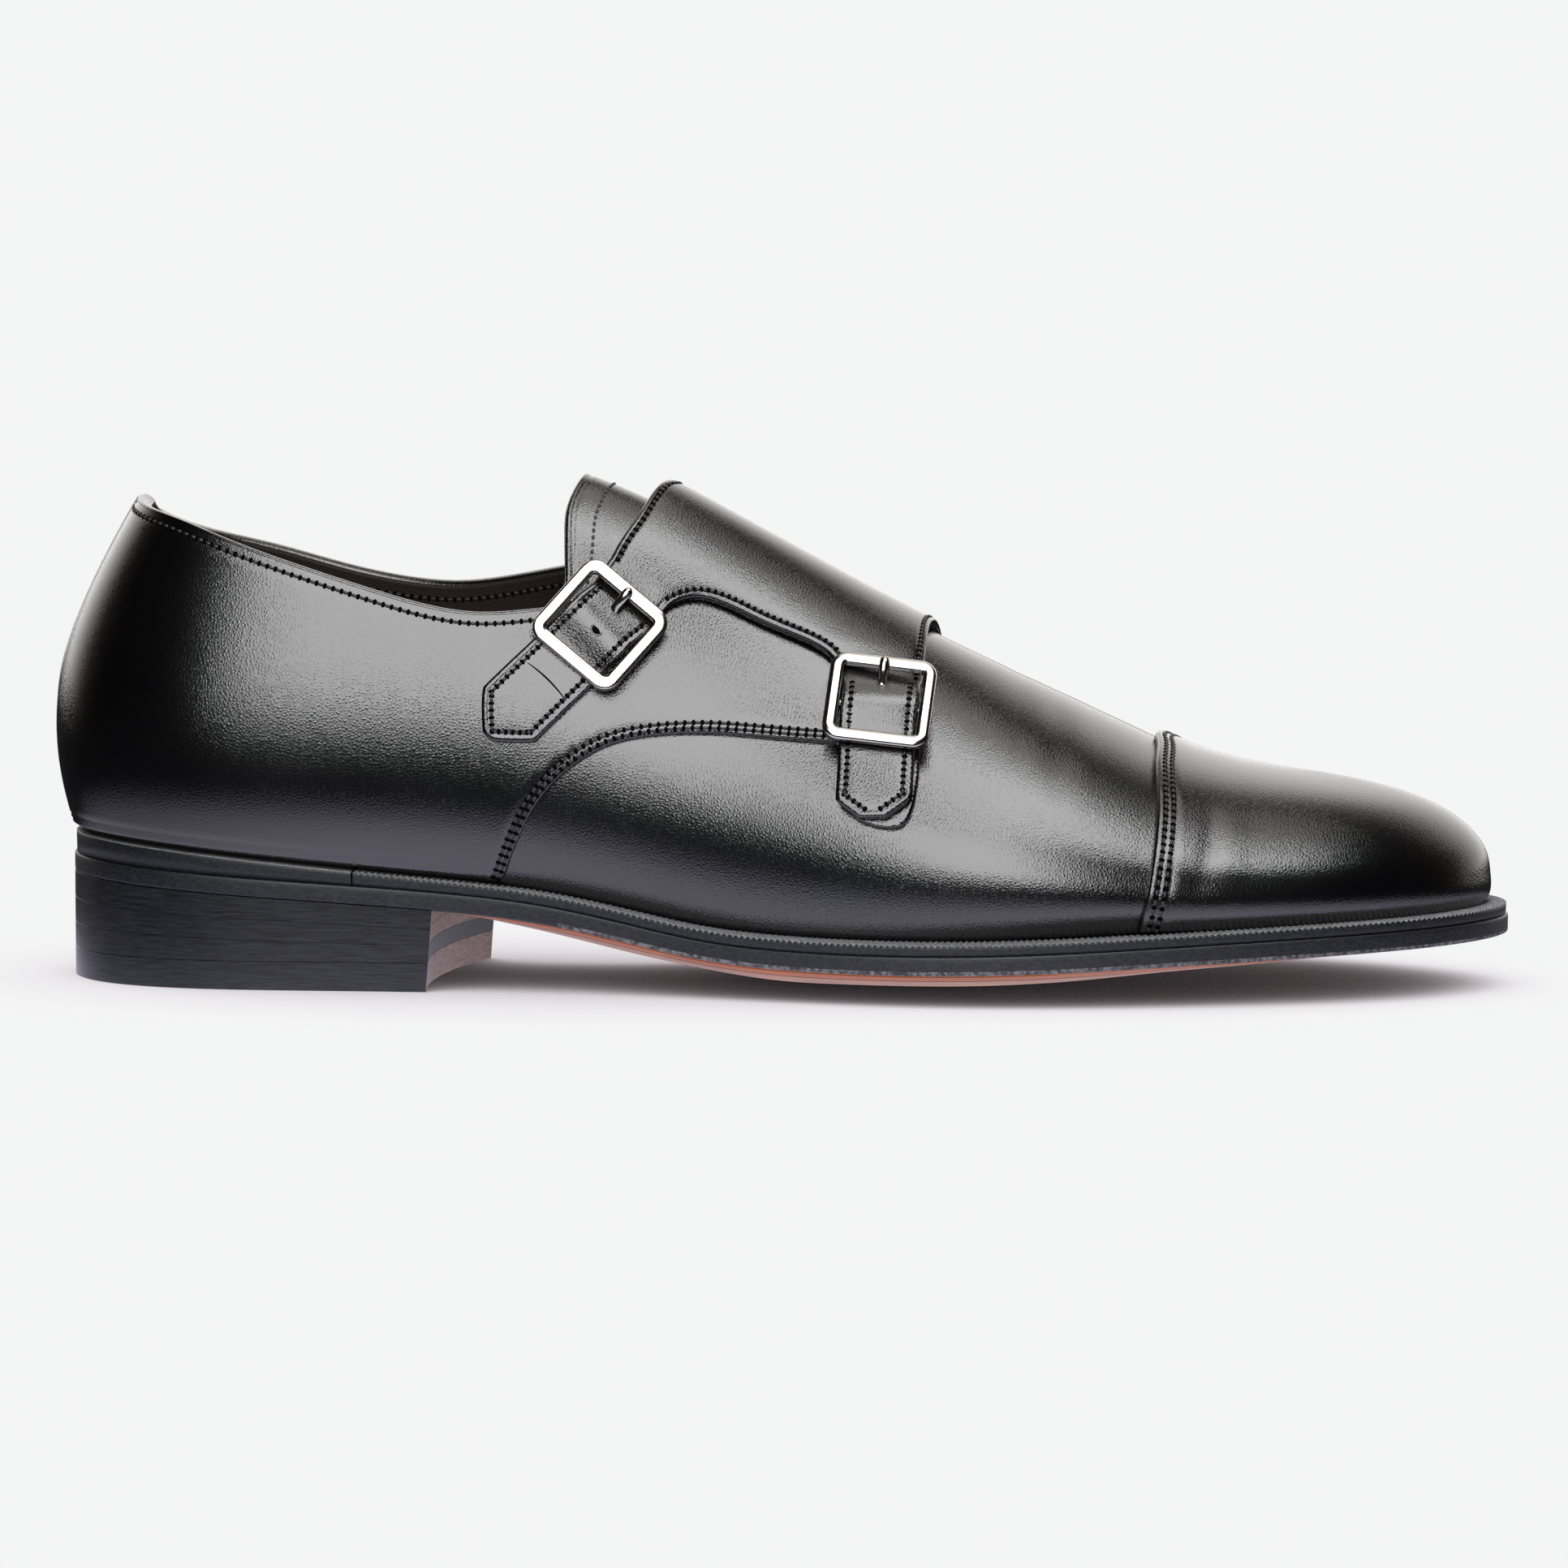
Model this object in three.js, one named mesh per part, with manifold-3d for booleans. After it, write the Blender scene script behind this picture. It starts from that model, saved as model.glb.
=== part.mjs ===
// Double monk strap shoe for the right foot: a hollow upper shaped on a last, a welted leather
// sole and a stacked heel. Millimetres. +X points to the toe, +Y to the inner side, +Z up.
import * as THREE from 'three';
import Module from 'manifold-3d';
import { mergeVertices } from 'three/addons/utils/BufferGeometryUtils.js';

const wasm = await Module();
wasm.setup();

// Driving sizes of the last
const SOLE_LENGTH = 300;
const HEEL_BREADTH = 65;
const WAIST_BREADTH = 62;
const BALL_BREADTH = 104;
const INSTEP_RISE = 100;
const TOE_RISE = 30;
const HEEL_HEIGHT = 22;
const TOE_SPRING = 11;
const TREAD_ROLL = 7;

// Thicknesses and clearances
const WALL = 1.8;
const OVERLAY = 1.1;
const CAP = 1.2;
const STRIP = 1.5;
const TONGUE = 1.5;
const FLAP = 1.8;
const STRAP = 1.2;
const GAP = 0.3;
const CURVED_GAP = 0.45;
const CAP_GAP = 0.55;
const TONGUE_GAP = 1.4;
const FRAME_EASE = 0.45;

// Sole and heel
const OUTSOLE = 3.8;
const WELT = 2.1;
const WELT_REACH = 6.5;
const WELT_SETBACK = 0.4;
const WELT_FALL = 0.3;
const HEEL_WEDGE = 2.4;
const INSOLE_CROWN = 0.9;
const TOP_PIECE = 6;
const HEEL_LIFTS = 3;
const BREAST_OUTER = 78;
const BREAST_INNER = 86;
const BREAST_HOLLOW = 4;
const BREAST_LEAN = 1.7;

// Straps and buckles
const STRAP_WIDTH = 15.5;
const STRAP_POINT = 6.5;
const STRAP_TIP = 2.4;
const FRAME_ACROSS = 22;
const FRAME_ALONG = 21.4;
const FRAME_BAR = 2.9;
const FRAME_THICKNESS = 2;
const FRAME_CORNER = 5;
const FRAME_BEVEL = 0.4;
const CENTRE_BAR = 1.4;
const PRONG = 1.2;
const PRONG_HOLE = 2.4;
const CHAPE = 0.7;
const CHAPE_WIDTH = 9;
const CHAPE_LENGTH = 11;
const ARCH_REACH = 6;
const ARCH_MARGIN = 1;
const STRAP_EASE = 0.15;
const CUTTER = 12;

const COLOURS = {
  calf: { color: 0x14151a, roughness: 0.3, metalness: 0 },
  lining: { color: 0x4a2a1c, roughness: 0.7, metalness: 0 },
  edge: { color: 0x1c1b1f, roughness: 0.5, metalness: 0 },
  sole: { color: 0xa8572c, roughness: 0.55, metalness: 0 },
  stack: { color: 0x5a3626, roughness: 0.6, metalness: 0 },
  rubber: { color: 0x151515, roughness: 0.8, metalness: 0 },
  nickel: { color: 0xc9cbce, roughness: 0.2, metalness: 1 },
};

// A table of rows under named columns
const table = (columns, rows) => {
  const names = columns.split(' ');
  return rows.map((row) => Object.fromEntries(names.map((name, i) => [name, row[i]])));
};

// Tread outline, from the heel back to the toe tip along each side. along is a share of the sole's
// length, reach of the breadth named at its row, inset of the welt's reach, and spine places the
// line that the sides of the upper lean towards.
const OUTLINE = table('breadth spine outerAlong outerReach innerAlong innerReach outerInset innerInset', [
  [HEEL_BREADTH, 0.133, 0, 0, 0, 0, 0.23, 0.23],
  [HEEL_BREADTH, 0.14, 0.027, 0.315, 0.027, 0.315, 0.28, 0.28],
  [HEEL_BREADTH, 0.157, 0.1, 0.477, 0.1, 0.477, 0.31, 0.31],
  [HEEL_BREADTH, 0.213, 0.2, 0.5, 0.2, 0.477, 0.38, 0.34],
  [WAIST_BREADTH, 0.3, 0.303, 0.54, 0.303, 0.427, 0.62, 0.38],
  [WAIST_BREADTH, 0.393, 0.4, 0.597, 0.4, 0.403, 0.85, 0.46],
  [BALL_BREADTH, 0.487, 0.493, 0.423, 0.497, 0.298, 0.95, 0.62],
  [BALL_BREADTH, 0.573, 0.587, 0.483, 0.59, 0.404, 1, 0.85],
  [BALL_BREADTH, 0.657, 0.68, 0.492, 0.687, 0.49, 1, 1],
  [BALL_BREADTH, 0.733, 0.77, 0.45, 0.777, 0.49, 1, 1],
  [BALL_BREADTH, 0.793, 0.873, 0.368, 0.873, 0.41, 0.95, 1],
  [BALL_BREADTH, 0.833, 0.96, 0.219, 0.96, 0.246, 0.95, 1],
  [BALL_BREADTH, 0.857, 1, 0.014, 1, 0.014, 1, 1],
]);

// Breadth of the upper as shares of the feather line, at five heights from foot to crown, for
// every second row of the outline
const OUTER_FORM = table('foot low middle high crown', [
  [1.065, 1.09, 0.966, 0.675, 0.36],
  [1.12, 1.16, 1.06, 0.84, 0.46],
  [1.12, 1.16, 1.06, 0.82, 0.44],
  [1.04, 1.04, 0.89, 0.62, 0.32],
  [1.04, 1.04, 0.92, 0.68, 0.34],
  [1.05, 1.055, 0.97, 0.76, 0.42],
  [1.03, 1.03, 1, 0.845, 0.505],
]);
const INNER_FORM = table('foot low middle high crown', [
  [1.065, 1.09, 0.966, 0.675, 0.36],
  [1.12, 1.16, 1.06, 0.84, 0.46],
  [1.25, 1.36, 1.3, 1.02, 0.55],
  [1.16, 1.2, 1.08, 0.78, 0.4],
  [1.04, 1.04, 0.91, 0.66, 0.33],
  [1.04, 1.045, 0.96, 0.75, 0.41],
  [1.03, 1.03, 1, 0.845, 0.505],
]);
// up is the share of the way from feather line to ridge, height the share of its rise there
const SIDE_RISE = table('up height', [
  [0, 0], [0.1, 0.12], [0.22, 0.27], [0.42, 0.5], [0.64, 0.75], [0.84, 0.93], [1, 1],
]);

// Ridge of the instep: rise goes from the toe's rise at 0 to the instep's at 1
const RIDGE = table('along rise', [
  [0, 0.943], [0.133, 0.996], [0.233, 1], [0.3, 0.981], [0.36, 0.934], [0.418, 0.879],
  [0.487, 0.761], [0.556, 0.611], [0.605, 0.504], [0.673, 0.359], [0.74, 0.213], [0.783, 0.124],
  [0.833, 0.061], [0.877, 0.029], [0.923, 0.001], [0.96, -0.024], [1, -0.057],
]);
const RIDGE_DRIFT = table('along drift', [[0, 0], [0.2, 0], [0.5, 0.015], [0.733, 0.03], [1, 0.02]]);

// Height of the sole's lower edge: shares of heel height, of the tread's roll and of toe spring
const EDGE_LIFT = table('along heel roll spring', [
  [0, 1, 0, 0], [0.14, 0.873, 0, 0], [0.253, 0.777, 0, 0], [0.343, 0.56, 0.3, 0],
  [0.403, 0.32, 0.566, 0], [0.45, 0.15, 0.73, 0], [0.513, 0.03, 0.891, 0], [0.573, 0, 0.943, 0],
  [0.633, 0, 0.943, 0.018], [0.717, 0, 0.849, 0.16], [0.83, 0, 0.547, 0.497],
  [0.917, 0, 0.236, 0.786], [1, 0, 0, 1],
]);
// How far the middle of the tread hangs below its edge, as a share of the roll
const TREAD_DROP = table('along drop', [
  [0, 0], [0.14, 0], [0.253, 0.13], [0.3, 0.5], [0.343, 0.73], [0.403, 0.86], [0.45, 0.87],
  [0.497, 0.98], [0.543, 1], [0.633, 1.02], [0.717, 0.9], [0.773, 0.73], [0.83, 0.61],
  [0.877, 0.43], [0.923, 0.23], [0.967, 0.04], [1, 0],
]);

// Natural cubic spline through values at knots; a number for lastSlope fixes the end's slope
function spline(knots, values, lastSlope = null) {
  const count = knots.length;
  const bend = new Array(count).fill(0);
  const pull = new Array(count).fill(0);
  const step = knots.slice(1).map((knot, i) => knot - knots[i]);
  const slope = step.map((h, i) => (values[i + 1] - values[i]) / h);
  for (let i = 1; i < count - 1; i++) {
    const pivot = (step[i - 1] + step[i]) / 3 - (step[i - 1] / 6) * pull[i - 1];
    pull[i] = step[i] / 6 / pivot;
    bend[i] = (slope[i] - slope[i - 1] - (step[i - 1] / 6) * bend[i - 1]) / pivot;
  }
  if (lastSlope !== null) {
    const h = step[count - 2];
    const pivot = h / 3 - (h / 6) * pull[count - 2];
    bend[count - 1] = (lastSlope - slope[count - 2] - (h / 6) * bend[count - 2]) / pivot;
  }
  for (let i = count - 2; i > 0; i--) bend[i] -= pull[i] * bend[i + 1];
  return (at) => {
    let i = 0;
    while (i < count - 2 && at > knots[i + 1]) i++;
    const h = step[i];
    const before = (knots[i + 1] - at) / h;
    const after = (at - knots[i]) / h;
    const curl = (before ** 3 - before) * bend[i] + (after ** 3 - after) * bend[i + 1];
    return before * values[i] + after * values[i + 1] + (curl * h * h) / 6;
  };
}

// A quantity along the shoe, read from a table's column; held level past the table's ends
function alongShoe(rows, value) {
  const knots = rows.map((row) => row.along * SOLE_LENGTH);
  const curve = spline(knots, rows.map(value));
  const [first, last] = [knots[0], knots[knots.length - 1]];
  return (x) => curve(THREE.MathUtils.clamp(x, first, last));
}

// A quantity round the whole shoe: out along the outer side to the toe and back along the inner
const WRAP = 4;
function aroundShoe(outer, inner) {
  const ring = [...outer, ...inner.slice(1, -1).reverse()];
  const knots = [];
  for (let k = -WRAP; k <= ring.length + WRAP; k++) knots.push(k);
  const curve = spline(knots, knots.map((k) => ring[(k + ring.length) % ring.length]));
  return (turn) => curve(((turn % ring.length) + ring.length) % ring.length);
}

// The tread's edge at a turn of the ring: 0 is the heel's back, ROWS the toe's tip
const ROWS = OUTLINE.length - 1;
const ROUND = 2 * ROWS;
const edgeX = aroundShoe(
  OUTLINE.map((row) => row.outerAlong * SOLE_LENGTH),
  OUTLINE.map((row) => row.innerAlong * SOLE_LENGTH));
const edgeY = aroundShoe(
  OUTLINE.map((row, i) => (i === ROWS ? 1 : -1) * row.outerReach * row.breadth),
  OUTLINE.map((row) => row.innerReach * row.breadth));
const spineX = aroundShoe(
  OUTLINE.map((row) => row.spine * SOLE_LENGTH),
  OUTLINE.map((row) => row.spine * SOLE_LENGTH));
const feather = aroundShoe(
  OUTLINE.map((row) => row.outerInset * WELT_REACH),
  OUTLINE.map((row) => row.innerInset * WELT_REACH));
const FORM = ['foot', 'low', 'middle', 'high', 'crown'].map((name) => aroundShoe(
  OUTER_FORM.map((row) => row[name]),
  INNER_FORM.map((row) => row[name])));
const formUp = SIDE_RISE.map((row) => row.up);
const riseShare = spline(formUp, SIDE_RISE.map((row) => row.height), 0);
const ridgeRise = alongShoe(RIDGE, (row) => TOE_RISE + row.rise * (INSTEP_RISE - TOE_RISE));
const ridgeY = alongShoe(RIDGE_DRIFT, (row) => row.drift * BALL_BREADTH);
const edgeLift = alongShoe(EDGE_LIFT,
  (row) => row.heel * HEEL_HEIGHT + row.roll * TREAD_ROLL + row.spring * TOE_SPRING);
const treadDrop = alongShoe(TREAD_DROP, (row) => row.drop * TREAD_ROLL);
const HEEL_SEAT = 0.317 * SOLE_LENGTH;
const pack = (x) => OUTSOLE + GAP + WELT + HEEL_WEDGE * (1 - THREE.MathUtils.smoothstep(x, 0, HEEL_SEAT));

// The tread's underside, share out from the spine; it lies flat on the ground where it would sink
const tread = (x, out) => Math.max(edgeLift(x) - treadDrop(x) * (1 - out * out), 0);

// A point of the tread's plan: share 0 on the spine, 1 on the edge; inward goes in from the edge
function planAt(turn, inward = 0) {
  const tiny = 0.001;
  const ahead = [edgeX(turn + tiny) - edgeX(turn - tiny), edgeY(turn + tiny) - edgeY(turn - tiny)];
  const length = Math.hypot(...ahead);
  const x = edgeX(turn) - (ahead[1] / length) * inward;
  const y = edgeY(turn) + (ahead[0] / length) * inward;
  const middle = [spineX(turn), ridgeY(spineX(turn))];
  const reach = Math.hypot(edgeX(turn) - middle[0], edgeY(turn) - middle[1]);
  return { x, y, middle, out: Math.hypot(x - middle[0], y - middle[1]) / reach };
}

// The last's surface: turn goes round the shoe and up from the feather line at 0 to the ridge at 1
function last(turn, up) {
  const { x, y, middle } = planAt(turn, feather(turn));
  const reach = spline(formUp, [1, ...FORM.map((form) => form(turn / 2)), 0])(up);
  const [px, py] = [middle[0] + (x - middle[0]) * reach, middle[1] + (y - middle[1]) * reach];
  const foot = edgeLift(x) + pack(x) + GAP;
  const ridge = edgeLift(px) + ridgeRise(px);
  const share = riseShare(up);
  return new THREE.Vector3(px, py, foot * (1 - share) + ridge * share);
}

// Outward normal; near the ridge both sides share one
function lastNormal(turn, up) {
  const tiny = 0.004;
  const top = 1 - 2 * tiny;
  if (up > top) {
    return lastNormal(turn, top).add(lastNormal(ROUND - turn, top)).normalize();
  }
  const round = last(turn + tiny, up).sub(last(turn - tiny, up));
  const rise = last(turn, up + tiny).sub(last(turn, Math.max(up - tiny, 0)));
  return round.cross(rise).normalize();
}

// Places on the upper: along runs from heel back 0 to toe tip 1, over from the outer feather line
// 0 across the ridge 1 to the inner feather line 2
const outer = (along, over) => (over <= 1 ? [ROWS * along, over] : [ROUND - ROWS * along, 2 - over]);
function leather(along, over, offset) {
  const [turn, up] = outer(along, over);
  return last(turn, up).addScaledVector(lastNormal(turn, up), offset);
}

// A sheet's net of places: control rows run over the shoe, and both directions are splined
function net(rows) {
  const knots = rows.map((row, i) => i);
  const across = rows.map((row) => {
    const marks = row.map((place, i) => i);
    return [0, 1].map((axis) => spline(marks, row.map((place) => place[axis])));
  });
  const last = rows[0].length - 1;
  return (s, q) => [0, 1].map((axis) => {
    const values = across.map((pair) => pair[axis](q * last));
    return rows.length > 2 ? spline(knots, values)(s * (rows.length - 1))
      : values[0] * (1 - s) + values[1] * s;
  });
}

// A closed solid from grids of point pairs [outside, inside]: both faces and a rim at each open
// edge. Grids that share an edge, or an edge folded on itself, are joined there.
function solidFrom(grids) {
  const places = new Map();
  const pairs = [];
  const find = ([outside, inside]) => {
    const key = outside.toArray().map((value) => Math.round(value * 500)).join();
    if (!places.has(key)) {
      places.set(key, pairs.length);
      pairs.push([outside, inside]);
    }
    return places.get(key);
  };
  const faces = [];
  const face = (a, b, c) => {
    if (a !== b && b !== c && c !== a) faces.push([a, b, c]);
  };
  for (const grid of grids) {
    const marks = grid.map((row) => row.map(find));
    for (let i = 0; i + 1 < marks.length; i++) {
      for (let j = 0; j + 1 < marks[i].length; j++) {
        const [a, b, c, d] = [marks[i][j], marks[i + 1][j], marks[i + 1][j + 1], marks[i][j + 1]];
        face(a, b, c);
        face(a, c, d);
      }
    }
  }
  const edges = new Set(faces.flatMap(([a, b, c]) => [`${a} ${b}`, `${b} ${c}`, `${c} ${a}`]));
  const inside = (mark) => mark + pairs.length;
  const index = [];
  for (const [a, b, c] of faces) index.push(a, b, c, inside(a), inside(c), inside(b));
  for (const edge of edges) {
    const [a, b] = edge.split(' ').map(Number);
    if (!edges.has(`${b} ${a}`)) index.push(b, a, inside(a), b, inside(a), inside(b));
  }
  const points = [...pairs.map((pair) => pair[0]), ...pairs.map((pair) => pair[1])];
  return geometryOf(points.flatMap((point) => point.toArray()), index);
}

function geometryOf(positions, index) {
  const geometry = new THREE.BufferGeometry();
  geometry.setAttribute('position', new THREE.Float32BufferAttribute(positions, 3));
  geometry.setIndex(index);
  return geometry;
}

// Boolean work
function manifold(geometry) {
  const bare = geometry.clone();
  bare.deleteAttribute('normal');
  bare.deleteAttribute('uv');
  const merged = mergeVertices(bare, 0.0001);
  return new wasm.Manifold(new wasm.Mesh({
    numProp: 3,
    vertProperties: new Float32Array(merged.attributes.position.array),
    triVerts: new Uint32Array(merged.index.array),
  }));
}
function geometryFrom(solid) {
  const mesh = solid.getMesh();
  return geometryOf(Array.from(mesh.vertProperties), Array.from(mesh.triVerts));
}
const joined = (...parts) => geometryFrom(parts.map(manifold).reduce((a, b) => a.add(b)));
const cut = (part, ...tools) => geometryFrom(tools.map(manifold).reduce((a, b) => a.subtract(b),
  manifold(part)));
const common = (a, b) => geometryFrom(manifold(a).intersect(manifold(b)));

// A grid of a function over shares 0 to 1 both ways
const gridOf = (columns, rows, at) => Array.from({ length: columns + 1 }, (unused, i) => (
  Array.from({ length: rows + 1 }, (unused2, j) => at(i / columns, j / rows))));

// A sheet of leather over one net of places, from an inner offset up by its thickness
function sheet(rows, columns, cells, inner, thickness) {
  const at = net(rows);
  return gridOf(columns, cells, (s, q) => {
    const [along, over] = at(s, q);
    const low = typeof inner === 'function' ? inner(along, over) : inner;
    const thick = typeof thickness === 'function' ? thickness(over) : thickness;
    return [leather(along, over, low + thick), leather(along, over, low)];
  });
}

// Seams, as places along and over. The collar falls from the heel and climbs under the flap.
const COLLAR_OUTER = table('along over', [
  [0, 0.672], [0.087, 0.655], [0.147, 0.63], [0.195, 0.588], [0.235, 0.552], [0.272, 0.522],
  [0.3, 0.505], [0.327, 0.505], [0.355, 0.53], [0.4, 0.6], [0.45, 0.74], [0.5, 0.92], [0.525, 1],
]);
const COLLAR_INNER = table('along over', [
  [0, 1.328], [0.087, 1.38], [0.147, 1.42], [0.195, 1.45], [0.235, 1.48], [0.272, 1.495],
  [0.3, 1.49], [0.327, 1.465], [0.355, 1.425], [0.4, 1.34], [0.45, 1.21], [0.5, 1.06], [0.525, 1],
]);
const THROAT = COLLAR_OUTER[COLLAR_OUTER.length - 1].along;
const collarCurve = (rows) => {
  const curve = spline(rows.map((row) => row.along), rows.map((row) => row.over));
  return (along) => (along >= THROAT ? 1 : curve(along));
};
const collarOuter = collarCurve(COLLAR_OUTER);
const collarInner = collarCurve(COLLAR_INNER);

// Front seam of the outer quarter from the welt up to the buckle tab; its leather starts a little
// above the welt
const FOOT = 0.014;
const CAP_FOOT = 0.03;
const SEAM_START = 0.335;
const SEAM_OUTER = [[0.341, FOOT], [0.347, 0.085], [0.357, 0.152], [0.373, 0.225], [0.408, 0.33],
  [0.468, 0.412], [0.512, 0.45], [0.54, 0.478]];
const QUARTER_TOP = 0.72;
const STRIP_HALF = 0.023;
const STRIP_FOOT = 0.2;
const STRIP_EDGE = STRIP_HALF + 0.0015;

// The upper: one wall from the feather line up to the collar, closed over the forepart
function upper() {
  const columns = 64;
  const rows = 8;
  const wall = gridOf(columns, rows, (s, q) => {
    const along = s < 0.5 ? 2 * s : 2 - 2 * s;
    const top = s < 0.5 ? collarOuter(along) : collarInner(along);
    const over = s < 0.5 ? top * q : 2 - (2 - top) * q;
    return [leather(along, over, 0), leather(along, over, -WALL)];
  });
  return solidFrom([wall]);
}

// Where a collar's row stands on the sheet, just inside the wall's own edge
const ring = (from, to, low, high) => [0, 1, 2, 3, 4].map((i) => {
  const along = from + ((to - from) * i) / 4;
  return [low(along), high(along)];
});

function outerQuarter() {
  const rear = ring(STRIP_EDGE, SEAM_START, (u) => [u, FOOT], (u) => [u, collarOuter(u)]);
  const side = SEAM_OUTER.map((low, i) => {
    const high = SEAM_START + ((0.545 - SEAM_START) * i) / (SEAM_OUTER.length - 1);
    return [i === 0 ? [SEAM_START, FOOT] : low, [high, Math.min(collarOuter(high), QUARTER_TOP)]];
  });
  const tab = [
    [[0.54, 0.478], [0.545, QUARTER_TOP]],
    [[0.5485, 0.3], [0.58, QUARTER_TOP]],
    [[0.583, 0.3], [0.595, 0.6]],
    [[0.593, 0.4], [0.597, 0.55]],
  ];
  return solidFrom([
    sheet(rear, 15, 7, CURVED_GAP, OVERLAY),
    sheet(side, 11, 7, CURVED_GAP, OVERLAY),
    sheet(tab, 4, 7, CURVED_GAP, OVERLAY),
  ]);
}

// The inner quarter runs on over the instep as the flap, whose outer side rides higher
const flapShare = (over) => THREE.MathUtils.smoothstep(1.3 - over, 0, 0.6);
const FLAP_SEAT = CURVED_GAP + OVERLAY + CURVED_GAP;
function flapInner(along, over) {
  const straps = over < 1 ? [UPPER_STRAP, LOWER_STRAP] : [];
  const lifts = straps.map((strap) => archOver(strap, leather(along, over, 0)));
  return CURVED_GAP + (FLAP_SEAT - CURVED_GAP) * flapShare(over) + Math.max(0, ...lifts);
}
const flapThick = (over) => OVERLAY + (FLAP - OVERLAY) * flapShare(over);
// Rows of the flap from its rear edge to its front: low on the inner side it starts at the seam,
// and a line at the collar's level parts it from the stretch that crosses the ridge
const FLAP_SIDE = [
  [[0.408, 1.37], [0.4, 1.66]],
  [[0.47, 1.4], [0.463, 1.565]],
  [[0.54, 1.36], [0.535, 1.46]],
  [[0.602, 1.22], [0.6, 1.28]],
];
const FLAP_TOP = [
  [[0.408, 1.37], [0.429, 1.2], [0.4383, 1], [0.425, 0.86], [0.402, 0.68]],
  [[0.47, 1.4], [0.482, 1.2], [0.492, 1], [0.488, 0.85], [0.474, 0.683]],
  [[0.54, 1.36], [0.547, 1.18], [0.552, 1], [0.546, 0.84], [0.535, 0.67]],
  [[0.602, 1.22], [0.606, 1.1], [0.6075, 1], [0.606, 0.9], [0.602, 0.7]],
];
const SEAM_WAIST = [[0.341, 2 - FOOT], [0.35, 1.89], [0.368, 1.785], FLAP_SIDE[0][1]];
function innerQuarterAndFlap() {
  const rear = ring(STRIP_EDGE, SEAM_START, (u) => [u, collarInner(u)], (u) => [u, 2 - FOOT]);
  const waist = SEAM_WAIST.map((low, i) => {
    if (i === 0) return [[SEAM_START, collarInner(SEAM_START)], [SEAM_START, 2 - FOOT]];
    if (i === SEAM_WAIST.length - 1) return FLAP_SIDE[0];
    const along = SEAM_START + ((FLAP_SIDE[0][0][0] - SEAM_START) * i) / (SEAM_WAIST.length - 1);
    return [[along, collarInner(along)], low];
  });
  const flapSide = FLAP_SIDE;
  const flapTop = FLAP_TOP.map((row) => [...row].reverse());
  return joined(
    solidFrom([
      sheet(rear, 15, 7, flapInner, flapThick),
      sheet(waist, 4, 7, flapInner, flapThick),
      sheet(flapSide, 10, 7, flapInner, flapThick),
      sheet(flapTop, 10, 12, flapInner, flapThick),
    ]),
    strapSolid(UPPER_STRAP),
    strapSolid(LOWER_STRAP));
}

const CAP_EDGE = [[0.7367, CAP_FOOT], [0.7425, 0.25], [0.748, 0.45], [0.753, 0.62], [0.761, 0.82],
  [0.7733, 1], [0.763, 1.18], [0.755, 1.38], [0.748, 1.55], [0.742, 1.75], [0.736, 2 - CAP_FOOT]];
function toeCap() {
  const tip = CAP_EDGE.map((place) => [1, place[1]]);
  return solidFrom([sheet([CAP_EDGE, tip], 11, 16, CAP_GAP, CAP)]);
}

function backStrip() {
  const side = (foot, half) => gridOf(4, 7, (s, q) => {
    const spread = (2 * s - 1) * half;
    const over = foot + (collarOuter(0) - foot) * q;
    const point = (offset) => last(ROWS * spread, over)
      .addScaledVector(lastNormal(ROWS * spread, over), offset);
    return [point(CURVED_GAP + STRIP), point(CURVED_GAP)];
  });
  return solidFrom([side(STRIP_FOOT, STRIP_HALF)]);
}

const TONGUE_TOP = [[0.372, 0.52], [0.377, 0.75], [0.386, 1], [0.377, 1.25], [0.372, 1.47]];
const TONGUE_MIDDLE = [[0.43, 0.5], [0.44, 0.75], [0.45, 1], [0.44, 1.25], [0.43, 1.5]];
const TONGUE_FOOT = [[0.55, 0.6], [0.56, 0.8], [0.565, 1], [0.56, 1.2], [0.55, 1.4]];
function tongue() {
  const rows = [TONGUE_TOP, TONGUE_MIDDLE, TONGUE_FOOT];
  return solidFrom([sheet(rows, 8, 8, -WALL - TONGUE_GAP - TONGUE, TONGUE)]);
}

// A strap follows a straight line between two places, and rises over its buckle's centre bar
const SEAT = CURVED_GAP + OVERLAY;
const BAR_HEIGHT = SEAT + GAP + CENTRE_BAR / 2;
const CHAPE_TOP = BAR_HEIGHT + CENTRE_BAR / 2 + GAP + CHAPE;
const STRAP_SEAT = FLAP_SEAT + STRAP_EASE;
const STRAP_ARCH = CHAPE_TOP + GAP - STRAP_SEAT;
const FRAME_HEIGHT = STRAP_SEAT + STRAP + GAP + FRAME_EASE;
const UPPER_STRAP = { root: [0.437, 0.7], tip: [0.333, 0.273], buckle: [0.396, 0.532], turned: 6 };
const LOWER_STRAP = { root: [0.5725, 0.75], tip: [0.5665, 0.31], buckle: [0.572, 0.595], turned: -5 };

// The strap's own axes at a share of its line: forward to the tip, across, and out of the shoe
function strapFrame(strap, share) {
  const place = (s) => [0, 1].map((i) => strap.root[i] + (strap.tip[i] - strap.root[i]) * s);
  const [along, over] = place(share);
  const tiny = 0.002;
  const origin = leather(along, over, 0);
  const [turn, up] = outer(along, over);
  const normal = lastNormal(turn, up);
  const ahead = leather(...place(share + tiny), 0).sub(leather(...place(share - tiny), 0));
  const forward = ahead.projectOnPlane(normal).normalize();
  return { along, over, origin, normal, forward, across: normal.clone().cross(forward) };
}

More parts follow.
